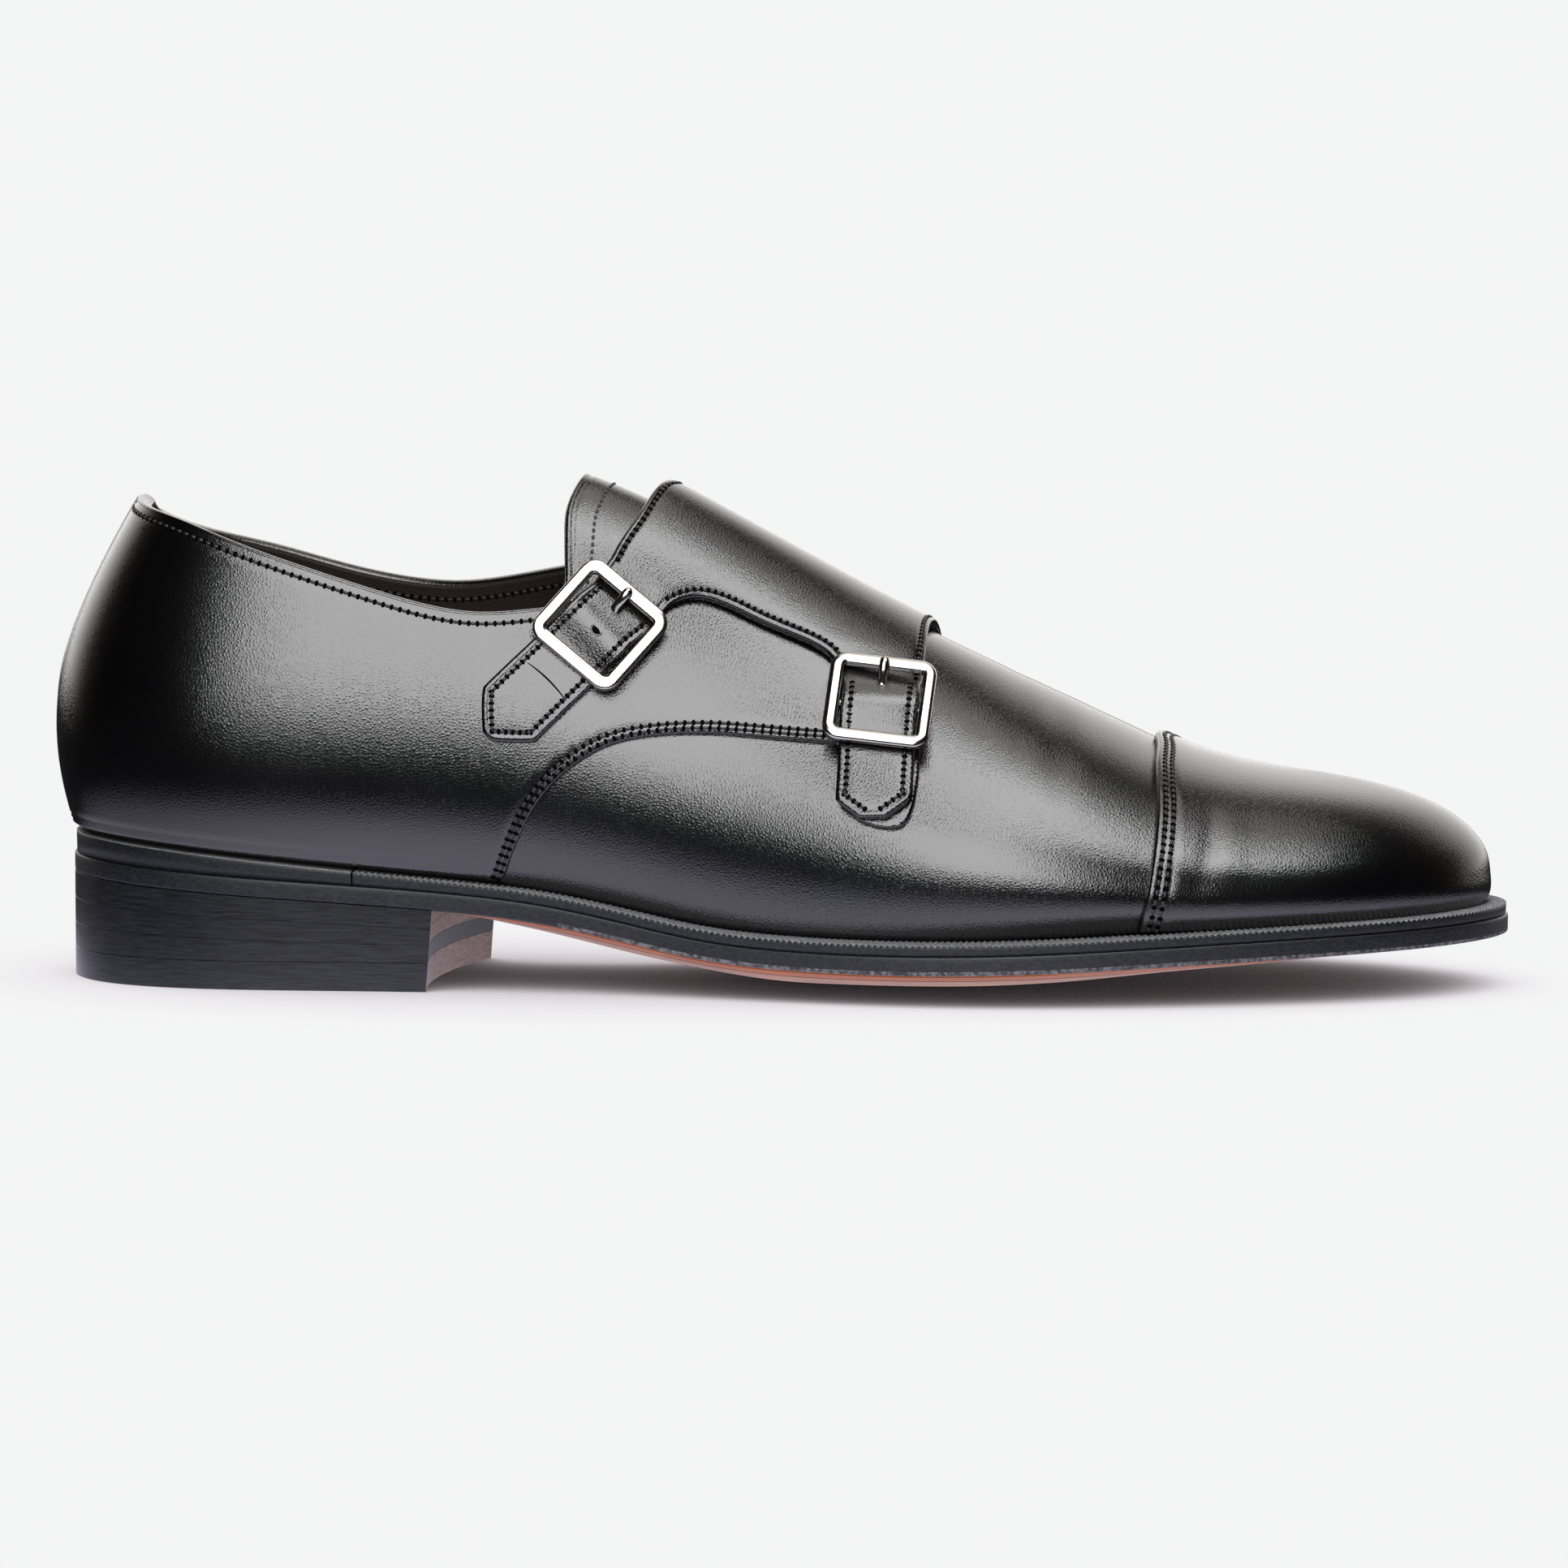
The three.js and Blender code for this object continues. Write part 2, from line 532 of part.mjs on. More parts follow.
// A place moved sideways on the leather by a length
function sideways({ along, over, across }, shift) {
  const tiny = 0.001;
  const here = leather(along, over, 0);
  const a = leather(along + tiny, over, 0).sub(here).divideScalar(tiny);
  const b = leather(along, over + tiny, 0).sub(here).divideScalar(tiny);
  const goal = across.clone().multiplyScalar(shift);
  const [aa, ab, bb] = [a.dot(a), a.dot(b), b.dot(b)];
  const [ga, gb] = [goal.dot(a), goal.dot(b)];
  const scale = aa * bb - ab * ab;
  return [along + (ga * bb - gb * ab) / scale, over + (gb * aa - ga * ab) / scale];
}

function strapSolid(strap) {
  const steps = 60;
  const frames = Array.from({ length: steps + 1 }, (unused, i) => strapFrame(strap, i / steps));
  const reach = [0];
  for (let i = 1; i <= steps; i++) {
    reach.push(reach[i - 1] + frames[i].origin.distanceTo(frames[i - 1].origin));
  }
  const total = reach[steps];
  const shareAt = (distance) => {
    const i = Math.max(1, reach.findIndex((value) => value >= distance - 0.000001));
    return (i - 1 + (distance - reach[i - 1]) / (reach[i] - reach[i - 1])) / steps;
  };
  const cells = 15;
  return solidFrom([gridOf(cells, 3, (s, q) => {
    const body = total - STRAP_POINT;
    const bodyCells = (cells - 3) / cells;
    const distance = s < bodyCells ? (body * s) / bodyCells
      : body + (STRAP_POINT * (s - bodyCells)) / (1 - bodyCells);
    const taper = Math.max(0, (distance - body) / STRAP_POINT);
    const half = (STRAP_WIDTH / 2) * (1 - taper) + (STRAP_TIP / 2) * taper;
    const frame = strapFrame(strap, shareAt(Math.min(distance, total)));
    const place = sideways(frame, (1 - 2 * q) * half);
    const rise = STRAP_SEAT + archOver(strap, leather(...place, 0));
    return [leather(...place, rise + STRAP), leather(...place, rise)];
  })]);
}

// How far the leather rises near a buckle's bar, level over the strap's width and fading beside it
function archOver(strap, point) {
  const { origin, forward, across } = buckleFrame(strap);
  const offset = point.clone().sub(origin);
  const away = offset.dot(forward) / ARCH_REACH;
  const beside = Math.abs(offset.dot(across)) - STRAP_WIDTH / 2;
  const fade = 1 - THREE.MathUtils.smoothstep(beside, ARCH_MARGIN, ARCH_REACH + ARCH_MARGIN);
  return STRAP_ARCH * Math.exp(-away * away) * fade;
}

// Buckle: a rounded frame over the strap, a bar under it, a leather loop over the bar, a prong. It
// sits turned by some degrees to its strap.
function buckleFrame(strap) {
  const share = (strap.buckle[1] - strap.root[1]) / (strap.tip[1] - strap.root[1]);
  return strapFrame(strap, share);
}
function seated(geometry, strap) {
  const { origin, forward, across, normal } = buckleFrame(strap);
  const axes = new THREE.Matrix4().makeBasis(forward, across, normal).setPosition(origin);
  return geometry.rotateZ(THREE.MathUtils.degToRad(strap.turned)).applyMatrix4(axes);
}
function roundedRectangle(target, along, across, radius) {
  const [a, c] = [along / 2 - radius, across / 2 - radius];
  target.absarc(a, c, radius, 0, Math.PI / 2, false);
  target.absarc(-a, c, radius, Math.PI / 2, Math.PI, false);
  target.absarc(-a, -c, radius, Math.PI, 1.5 * Math.PI, false);
  target.absarc(a, -c, radius, 1.5 * Math.PI, 2 * Math.PI, false);
  return target;
}
const block = (x, y, z, at) => new THREE.BoxGeometry(x, y, z).translate(...at);
function frameSolid(strap) {
  const shape = roundedRectangle(new THREE.Shape(), FRAME_ALONG, FRAME_ACROSS, FRAME_CORNER);
  shape.holes.push(roundedRectangle(new THREE.Path(), FRAME_ALONG - 2 * FRAME_BAR,
    FRAME_ACROSS - 2 * FRAME_BAR, FRAME_CORNER - FRAME_BAR));
  const face = new THREE.ExtrudeGeometry(shape, {
    depth: FRAME_THICKNESS - 2 * FRAME_BEVEL, curveSegments: 3,
    bevelThickness: FRAME_BEVEL, bevelSize: FRAME_BEVEL, bevelOffset: -FRAME_BEVEL, bevelSegments: 1,
  }).translate(0, 0, FRAME_HEIGHT + FRAME_BEVEL);
  const side = (FRAME_ACROSS - FRAME_BAR) / 2;
  const foot = BAR_HEIGHT - CENTRE_BAR / 2;
  const rod = new THREE.CylinderGeometry(CENTRE_BAR / 2, CENTRE_BAR / 2, 2 * side + CENTRE_BAR, 8)
    .translate(0, 0, BAR_HEIGHT);
  const head = FRAME_HEIGHT + FRAME_THICKNESS / 2;
  const posts = [-side, side].map((y) => block(CENTRE_BAR, CENTRE_BAR, head - foot,
    [0, y, (head + foot) / 2]));
  return seated(joined(face, rod, ...posts), strap);
}
function chapeSolid(strap) {
  const hump = CENTRE_BAR / 2 + GAP + CHAPE;
  const half = CHAPE_LENGTH / 2;
  const base = SEAT + GAP;
  const shape = new THREE.Shape();
  shape.moveTo(-half, base);
  shape.lineTo(-hump + CHAPE, base);
  shape.absarc(0, BAR_HEIGHT, CENTRE_BAR / 2 + GAP, Math.PI, 0, true);
  shape.lineTo(hump - CHAPE, base);
  shape.lineTo(half, base);
  shape.lineTo(half, base + CHAPE);
  shape.lineTo(hump, base + CHAPE);
  shape.absarc(0, BAR_HEIGHT, hump, 0, Math.PI, false);
  shape.lineTo(-half, base + CHAPE);
  const loop = { depth: CHAPE_WIDTH, curveSegments: 4, bevelEnabled: false };
  const strip = new THREE.ExtrudeGeometry(shape, loop)
    .translate(0, 0, -CHAPE_WIDTH / 2).rotateX(Math.PI / 2);
  const slot = block(2 * (hump + GAP), PRONG + 2 * GAP, CUTTER, [0, 0, BAR_HEIGHT + GAP + CUTTER / 2]);
  return seated(cut(strip, slot), strap);
}
// The prong rises from the bar through the strap and lies over the frame's side
function prongPath() {
  const foot = BAR_HEIGHT + CENTRE_BAR / 2 + GAP;
  const crest = Math.max(CHAPE_TOP + GAP + STRAP, FRAME_HEIGHT + FRAME_THICKNESS) + GAP + PRONG / 2;
  const side = -FRAME_ALONG / 2 + PRONG;
  return [[-0.1, foot], [-0.2, crest - 0.9], [-1, crest], [-5, crest], [side, crest]]
    .map(([a, height]) => new THREE.Vector3(a, 0, height));
}
function prongSolid(strap) {
  const path = new THREE.CatmullRomCurve3(prongPath(), false, 'centripetal');
  const shape = new THREE.Shape().absarc(0, 0, PRONG / 2, 0, 2 * Math.PI, false);
  const rod = new THREE.ExtrudeGeometry(shape, { steps: 9, curveSegments: 3, extrudePath: path });
  return seated(rod, strap);
}
function prongHole(strap) {
  const drill = new THREE.CylinderGeometry(PRONG_HOLE / 2, PRONG_HOLE / 2, CUTTER, 12)
    .rotateX(Math.PI / 2).translate(-GAP / 2, 0, BAR_HEIGHT - 1 + CUTTER / 2);
  return seated(drill, strap);
}

// Sole: slabs that follow the tread, between two heights over it
const TREAD_RINGS = [0, 0.12, 0.37, 0.62, 0.82, 1];
function soleSlab(rings, inward, columns, low, high) {
  return solidFrom([gridOf(columns, rings.length - 1, (s, q) => {
    const turn = ROUND * s;
    const { x, y, middle, out } = planAt(turn, inward(turn));
    const share = 1 - rings[Math.round(q * (rings.length - 1))];
    const [px, py] = [middle[0] + (x - middle[0]) * share, middle[1] + (y - middle[1]) * share];
    return [new THREE.Vector3(px, py, high(px, out * share)),
      new THREE.Vector3(px, py, low(px, out * share))];
  })]);
}
const outsole = () => soleSlab(TREAD_RINGS, () => 0, 52, tread, (x, out) => tread(x, out) + OUTSOLE);
const WALL_FOOT = WALL + 2 * GAP;
function insole() {
  return soleSlab(TREAD_RINGS, (turn) => feather(turn) + WALL_FOOT, 40,
    (x, out) => tread(x, out) + OUTSOLE + CURVED_GAP,
    (x, out) => tread(x, out) + pack(x) + INSOLE_CROWN);
}

// Welt and rand: a strip under the upper's edge, from one turn round to another
function edgeStrip(from, to, columns) {
  return solidFrom([gridOf(columns, 1, (s, q) => {
    const turn = from + (to - from) * s;
    const inner = feather(turn) + WALL_FOOT - GAP;
    const { x, y, out } = planAt(turn, WELT_SETBACK + (inner - WELT_SETBACK) * q);
    const top = edgeLift(x) + pack(x) - WELT_FALL * (1 - q);
    return [new THREE.Vector3(x, y, top), new THREE.Vector3(x, y, tread(x, out) + OUTSOLE + GAP)];
  })]);
}
// Their joint at the waist, in turns of the ring
const JOINT = 3.08;
const JOINT_GAP = 0.01;
const welt = () => edgeStrip(JOINT + JOINT_GAP, ROUND - JOINT - JOINT_GAP, 48);
const rand = () => edgeStrip(-JOINT, JOINT, 20);

// Heel: the tread's outline down to the ground, ended by the breast and sliced into lifts
function heelPieces() {
  const stack = soleSlab(TREAD_RINGS, () => 0, 52, () => 0, (x, out) => tread(x, out) - GAP + 0.0001);
  const plan = new THREE.Shape();
  const wide = HEEL_BREADTH;
  const middle = (BREAST_OUTER + BREAST_INNER) / 2 - BREAST_HOLLOW;
  const handle = 2 * middle - (BREAST_OUTER + BREAST_INNER) / 2;
  const slant = (BREAST_INNER - BREAST_OUTER) / 2;
  plan.moveTo(-wide, -wide);
  plan.lineTo(BREAST_OUTER - slant, -wide);
  plan.lineTo(BREAST_OUTER, -wide / 2);
  plan.quadraticCurveTo(handle, 0, BREAST_INNER, wide / 2);
  plan.lineTo(BREAST_INNER + slant, wide);
  plan.lineTo(-wide, wide);
  const tall = 2 * HEEL_HEIGHT;
  const lean = new THREE.Matrix4().makeShear(0, 0, 0, 0, BREAST_LEAN / HEEL_HEIGHT, 0);
  const breast = new THREE.ExtrudeGeometry(plan, { depth: tall, bevelEnabled: false, curveSegments: 8 })
    .translate(0, 0, -TOP_PIECE).applyMatrix4(lean);
  const block = common(stack, breast);
  const back = edgeLift(0) - GAP;
  const front = edgeLift(BREAST_OUTER) - GAP;
  const level = (k, x) => {
    if (k === 0) return -TOP_PIECE;
    const share = (k - 1) / HEEL_LIFTS;
    const [rear, fore] = [back, front].map((top) => TOP_PIECE + (top - TOP_PIECE) * share);
    return k > HEEL_LIFTS ? 2 * HEEL_HEIGHT : rear + ((fore - rear) * x) / BREAST_OUTER;
  };
  return Array.from({ length: HEEL_LIFTS + 1 }, (unused, k) => {
    const side = new THREE.Shape();
    const [from, to] = [-wide, 2 * wide];
    side.moveTo(from, level(k, from));
    side.lineTo(to, level(k, to));
    side.lineTo(to, level(k + 1, to) - GAP);
    side.lineTo(from, level(k + 1, from) - GAP);
    const slice = new THREE.ExtrudeGeometry(side, { depth: 2 * wide, bevelEnabled: false })
      .translate(0, 0, -wide).rotateX(Math.PI / 2);
    return common(block, slice);
  });
}

// The shoe
const group = new THREE.Group();
function add(name, geometry, look) {
  const mesh = new THREE.Mesh(geometry, new THREE.MeshStandardMaterial(COLOURS[look]));
  mesh.name = name;
  group.add(mesh);
}
add('outsole', outsole(), 'sole');
const [topPiece, ...lifts] = heelPieces();
add('heel_top_piece', topPiece, 'rubber');
lifts.forEach((lift, i) => add(`heel_lift_${i + 1}`, lift, 'stack'));
add('welt', welt(), 'edge');
add('heel_rand', rand(), 'edge');
add('insole', insole(), 'lining');
add('upper', upper(), 'calf');
add('toe_cap', toeCap(), 'calf');
add('outer_quarter', outerQuarter(), 'calf');
add('inner_quarter_and_flap',
  cut(innerQuarterAndFlap(), prongHole(UPPER_STRAP), prongHole(LOWER_STRAP)), 'calf');
add('back_strip', backStrip(), 'calf');
add('tongue', tongue(), 'calf');
for (const [name, strap] of [['upper', UPPER_STRAP], ['lower', LOWER_STRAP]]) {
  add(`${name}_buckle_frame`, frameSolid(strap), 'nickel');
  add(`${name}_buckle_prong`, prongSolid(strap), 'nickel');
  add(`${name}_buckle_chape`, chapeSolid(strap), 'calf');
}

// Origin under the middle of the whole shoe's box
const box = new THREE.Box3().setFromObject(group);
const middle = box.getCenter(new THREE.Vector3());
for (const mesh of group.children) mesh.geometry.translate(-middle.x, -middle.y, -box.min.z);

export default group;
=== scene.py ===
"""Double monk strap shoe, right foot: black calf on a welted leather sole with a stacked heel.

Shapes are worked out in millimetres with x to the toe, y to the inner side and z up, measured from
the back of the outsole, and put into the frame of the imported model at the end.
"""

import bpy
import numpy as np
from mathutils.geometry import delaunay_2d_cdt
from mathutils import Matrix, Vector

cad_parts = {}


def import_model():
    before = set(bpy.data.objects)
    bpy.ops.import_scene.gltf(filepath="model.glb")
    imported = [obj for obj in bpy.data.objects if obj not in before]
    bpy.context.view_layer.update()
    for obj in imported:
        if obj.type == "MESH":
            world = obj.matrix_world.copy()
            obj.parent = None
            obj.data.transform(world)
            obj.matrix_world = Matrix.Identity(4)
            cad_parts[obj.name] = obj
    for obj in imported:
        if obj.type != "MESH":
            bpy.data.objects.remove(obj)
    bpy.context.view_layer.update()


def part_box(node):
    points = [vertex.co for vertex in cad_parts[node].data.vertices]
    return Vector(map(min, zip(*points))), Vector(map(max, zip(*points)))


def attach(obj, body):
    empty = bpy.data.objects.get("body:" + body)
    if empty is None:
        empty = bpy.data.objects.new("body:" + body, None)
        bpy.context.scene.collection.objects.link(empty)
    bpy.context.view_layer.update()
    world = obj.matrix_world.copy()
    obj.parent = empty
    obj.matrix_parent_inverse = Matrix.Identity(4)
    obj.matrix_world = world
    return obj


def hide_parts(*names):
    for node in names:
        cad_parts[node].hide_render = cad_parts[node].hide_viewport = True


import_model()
FINE = 1.0

# Sizes of the last
SOLE_LENGTH = 300.0
HEEL_BREADTH = 65.0
WAIST_BREADTH = 62.0
BALL_BREADTH = 104.0
INSTEP_RISE = 100.0
TOE_RISE = 30.0
HEEL_HEIGHT = 22.0
TOE_SPRING = 11.0
TREAD_ROLL = 7.0

# Thicknesses, clearances and sole
WALL = 1.8
OVERLAY = 1.1
CAP = 1.2
STRIP = 1.5
TONGUE = 1.5
FLAP = 1.8
GAP = 0.3
CURVED_GAP = 0.45
CAP_GAP = 0.55
TONGUE_GAP = 1.4
OUTSOLE = 3.8
WELT = 2.1
WELT_REACH = 6.5
WELT_SETBACK = 0.4
HEEL_WEDGE = 2.4
INSOLE_CROWN = 0.9
TOP_PIECE = 6.0
HEEL_LIFTS = 3
BREAST_OUTER = 78.0
BREAST_INNER = 86.0
BREAST_HOLLOW = 4.0
BREAST_LEAN = 1.7

# Straps and buckles
STRAP_WIDTH = 15.5
STRAP_POINT = 6.5
STRAP_TIP = 2.4
STRAP_PARED = 0.42
BLUNT_POINT, BLUNT_TIP = 4.0, 5.4
FRAME_ACROSS = 22.0
FRAME_ALONG = 21.4
FRAME_BAR = 2.9
FRAME_THICKNESS = 2.0
FRAME_CORNER = 3.6
CENTRE_BAR = 1.4
PRONG_RADIUS = 1.05
PRONG_POINT = [1.04, 1.02, 0.96, 0.84, 0.6, 0.15]
CHAPE = 0.7
ARCH_REACH = 6.0
SEAT = CURVED_GAP + OVERLAY
FLAP_SEAT = SEAT + CURVED_GAP
BAR_HEIGHT = SEAT + GAP + CENTRE_BAR / 2
STRAP_ARCH = BAR_HEIGHT + CENTRE_BAR / 2 + GAP + CHAPE + GAP - FLAP_SEAT
FRAME_HEIGHT = 4.1

# The quarter in the scene: sunk toward the vamp, its top 0.05 lower than the solid's
QUARTER_LOW = CURVED_GAP - 0.35
QUARTER_THICK = OVERLAY + 0.3

# Stitching: share of the pitch that a thread's loop covers, its width and height and how far it
# sinks, then the oval holes between the loops, matte near-black ovals painted as the shade in them
THREAD_SHARE = 0.62
THREAD_WIDTH = 0.72
THREAD_HEIGHT = 0.62
THREAD_SUNK = 0.02
HOLE_RADIUS = 0.58
HOLE_OVAL = (0.82, 1.12, 1.0)
HOLE_LIFT = 0.015

# Tones of the backdrop and of the painted glow that stands for the light the floor throws back, and
# its reach in metres
BACKDROP = (0.91, 0.911, 0.913)
FLOOR_GLOW = (1.15, 1.12, 1.4)
GLOW_REACH = (0.24, 0.14)

# The tread's outline: the breadth that a row follows, then shares of the length and of it
OUTLINE = np.array([
    # breadth, spine, outer along, outer reach, inner along, inner reach, outer inset, inner inset
    [HEEL_BREADTH, 0.133, 0, 0, 0, 0, 0.23, 0.23],
    [HEEL_BREADTH, 0.14, 0.027, 0.315, 0.027, 0.315, 0.28, 0.28],
    [HEEL_BREADTH, 0.157, 0.1, 0.477, 0.1, 0.477, 0.31, 0.31],
    [HEEL_BREADTH, 0.213, 0.2, 0.5, 0.2, 0.477, 0.38, 0.34],
    [WAIST_BREADTH, 0.3, 0.303, 0.54, 0.303, 0.427, 0.62, 0.38],
    [WAIST_BREADTH, 0.393, 0.4, 0.597, 0.4, 0.403, 0.85, 0.46],
    [BALL_BREADTH, 0.487, 0.493, 0.423, 0.497, 0.298, 0.95, 0.62],
    [BALL_BREADTH, 0.573, 0.587, 0.483, 0.59, 0.404, 1, 0.85],
    [BALL_BREADTH, 0.657, 0.68, 0.492, 0.687, 0.49, 1, 1],
    [BALL_BREADTH, 0.733, 0.77, 0.45, 0.777, 0.49, 1, 1],
    [BALL_BREADTH, 0.793, 0.873, 0.368, 0.873, 0.41, 0.95, 1],
    [BALL_BREADTH, 0.833, 0.96, 0.219, 0.96, 0.246, 0.95, 1],
    [BALL_BREADTH, 0.857, 1, -0.014, 1, 0.014, 1, 1],
])
# Breadth shares at foot, low, middle, high and crown, for every second row of the outline
OUTER_FORM = np.array([
    [1.065, 1.09, 0.966, 0.675, 0.36],
    [1.12, 1.16, 1.06, 0.84, 0.46],
    [1.12, 1.16, 1.06, 0.82, 0.44],
    [1.04, 1.04, 0.89, 0.62, 0.32],
    [1.04, 1.04, 0.92, 0.68, 0.34],
    [1.05, 1.055, 0.97, 0.76, 0.42],
    [1.03, 1.03, 1, 0.845, 0.505],
])
INNER_FORM = np.array([
    [1.065, 1.09, 0.966, 0.675, 0.36],
    [1.12, 1.16, 1.06, 0.84, 0.46],
    [1.25, 1.36, 1.3, 1.02, 0.55],
    [1.16, 1.2, 1.08, 0.78, 0.4],
    [1.04, 1.04, 0.91, 0.66, 0.33],
    [1.04, 1.045, 0.96, 0.75, 0.41],
    [1.03, 1.03, 1, 0.845, 0.505],
])
SIDE_RISE = np.array([
    [0, 0], [0.1, 0.12], [0.22, 0.27], [0.42, 0.5], [0.64, 0.75], [0.84, 0.93], [1, 1],
])
RIDGE = np.array([
    [0, 0.943], [0.133, 0.996], [0.233, 1], [0.3, 0.981], [0.36, 0.934], [0.418, 0.879],
    [0.487, 0.761], [0.556, 0.611], [0.605, 0.504], [0.673, 0.359], [0.74, 0.213], [0.783, 0.124],
    [0.833, 0.061], [0.877, 0.029], [0.923, 0.001], [0.96, -0.024], [1, -0.057],
])
RIDGE_DRIFT = np.array([[0, 0], [0.2, 0], [0.5, 0.015], [0.733, 0.03], [1, 0.02]])
EDGE_LIFT = np.array([
    # along, share of heel height, of tread roll, of toe spring
    [0, 1, 0, 0], [0.14, 0.873, 0, 0], [0.253, 0.777, 0, 0], [0.343, 0.56, 0.3, 0],
    [0.403, 0.32, 0.566, 0], [0.45, 0.15, 0.73, 0], [0.513, 0.03, 0.891, 0], [0.573, 0, 0.943, 0],
    [0.633, 0, 0.943, 0.018], [0.717, 0, 0.849, 0.16], [0.83, 0, 0.547, 0.497],
    [0.917, 0, 0.236, 0.786], [1, 0, 0, 1],
])
TREAD_DROP = np.array([
    [0, 0], [0.14, 0], [0.253, 0.13], [0.3, 0.5], [0.343, 0.73], [0.403, 0.86], [0.45, 0.87],
    [0.497, 0.98], [0.543, 1], [0.633, 1.02], [0.717, 0.9], [0.773, 0.73], [0.83, 0.61],
    [0.877, 0.43], [0.923, 0.23], [0.967, 0.04], [1, 0],
])


def bends(knots, values, last_slope=None):
    """Second derivatives of the natural cubic spline through the values, one column each."""
    count = len(knots)
    step = np.diff(knots)
    matrix = np.eye(count)
    right = np.zeros((count,) + values.shape[1:])
    for i in range(1, count - 1):
        matrix[i, i - 1:i + 2] = step[i - 1] / 6, (step[i - 1] + step[i]) / 3, step[i] / 6
        right[i] = (values[i + 1] - values[i]) / step[i] - (values[i] - values[i - 1]) / step[i - 1]
    if last_slope is not None:
        matrix[-1, -2:] = step[-1] / 6, step[-1] / 3
        right[-1] = last_slope - (values[-1] - values[-2]) / step[-1]
    return np.linalg.solve(matrix, right)


def spline(knots, values, last_slope=None):
    """Cubic spline as a function of arrays; values may have several columns."""
    knots, values = np.asarray(knots, float), np.asarray(values, float)
    bend = bends(knots, values, last_slope)

    def curve(at):
        at = np.asarray(at, float)
        i = np.clip(np.searchsorted(knots, at) - 1, 0, len(knots) - 2)
        h = knots[i + 1] - knots[i]
        before, after = (knots[i + 1] - at) / h, (at - knots[i]) / h
        if values.ndim > 1:
            h, before, after = h[..., None], before[..., None], after[..., None]
        curl = (before ** 3 - before) * bend[i] + (after ** 3 - after) * bend[i + 1]
        return before * values[i] + after * values[i + 1] + curl * h * h / 6
    return curve


def along_shoe(rows, values):
    """A quantity against x, held level past the table's ends."""
    curve = spline(rows[:, 0] * SOLE_LENGTH, values)
    return lambda x: curve(np.clip(x, 0, SOLE_LENGTH))


def around_shoe(outer, inner):
    """A quantity round the shoe: out along the outer side and back along the inner, closed."""
    ring = np.concatenate([outer, inner[-2:0:-1]])
    count = len(ring)
    knots = np.arange(-4, count + 5)
    curve = spline(knots, ring[knots % count])
    return lambda turn: curve(np.mod(turn, count))


ROWS = len(OUTLINE) - 1
ROUND = 2 * ROWS
edge_x = around_shoe(OUTLINE[:, 2] * SOLE_LENGTH, OUTLINE[:, 4] * SOLE_LENGTH)
edge_y = around_shoe(-OUTLINE[:, 3] * OUTLINE[:, 0], OUTLINE[:, 5] * OUTLINE[:, 0])
spine_x = around_shoe(OUTLINE[:, 1] * SOLE_LENGTH, OUTLINE[:, 1] * SOLE_LENGTH)
feather = around_shoe(OUTLINE[:, 6] * WELT_REACH, OUTLINE[:, 7] * WELT_REACH)
forms = around_shoe(OUTER_FORM, INNER_FORM)
rise_share = spline(SIDE_RISE[:, 0], SIDE_RISE[:, 1], 0.0)
ridge_rise = along_shoe(RIDGE, TOE_RISE + RIDGE[:, 1] * (INSTEP_RISE - TOE_RISE))
ridge_y = along_shoe(RIDGE_DRIFT, RIDGE_DRIFT[:, 1] * BALL_BREADTH)
edge_lift = along_shoe(EDGE_LIFT, EDGE_LIFT[:, 1:] @ [HEEL_HEIGHT, TREAD_ROLL, TOE_SPRING])
tread_drop = along_shoe(TREAD_DROP, TREAD_DROP[:, 1] * TREAD_ROLL)
HEEL_SEAT = 0.317 * SOLE_LENGTH


def smoothstep(value, low, high):
    """0 up to low, 1 from high on, and an even cubic between."""
    share = np.clip((value - low) / (high - low), 0, 1)
    return share * share * (3 - 2 * share)


def unit(vectors):
    """The vectors at length one."""
    return vectors / np.maximum(np.linalg.norm(vectors, axis=-1, keepdims=True), 1e-9)


def pack(x):
    """Height of the welt's top over the tread's edge."""
    return OUTSOLE + GAP + WELT + HEEL_WEDGE * (1 - smoothstep(x, 0, HEEL_SEAT))


def tread(x, out):
    """Underside: the edge's height less a drop that grows as the square towards the spine."""
    return np.maximum(edge_lift(x) - tread_drop(x) * (1 - out * out), 0)


def plan_at(turn, inward=0.0):
    """Plan point on the edge moved inward, with the spine point and its share of the reach."""
    tiny = 0.001
    edge_at = lambda place: np.stack([edge_x(place), edge_y(place)], -1)
    ahead = unit(edge_at(turn + tiny) - edge_at(turn - tiny))
    edge = edge_at(turn)
    point = edge + np.stack([-ahead[..., 1], ahead[..., 0]], -1) * np.asarray(inward)[..., None]
    middle = np.stack([spine_x(turn), ridge_y(spine_x(turn))], -1)
    out = np.linalg.norm(point - middle, axis=-1) / np.linalg.norm(edge - middle, axis=-1)
    return point, middle, out


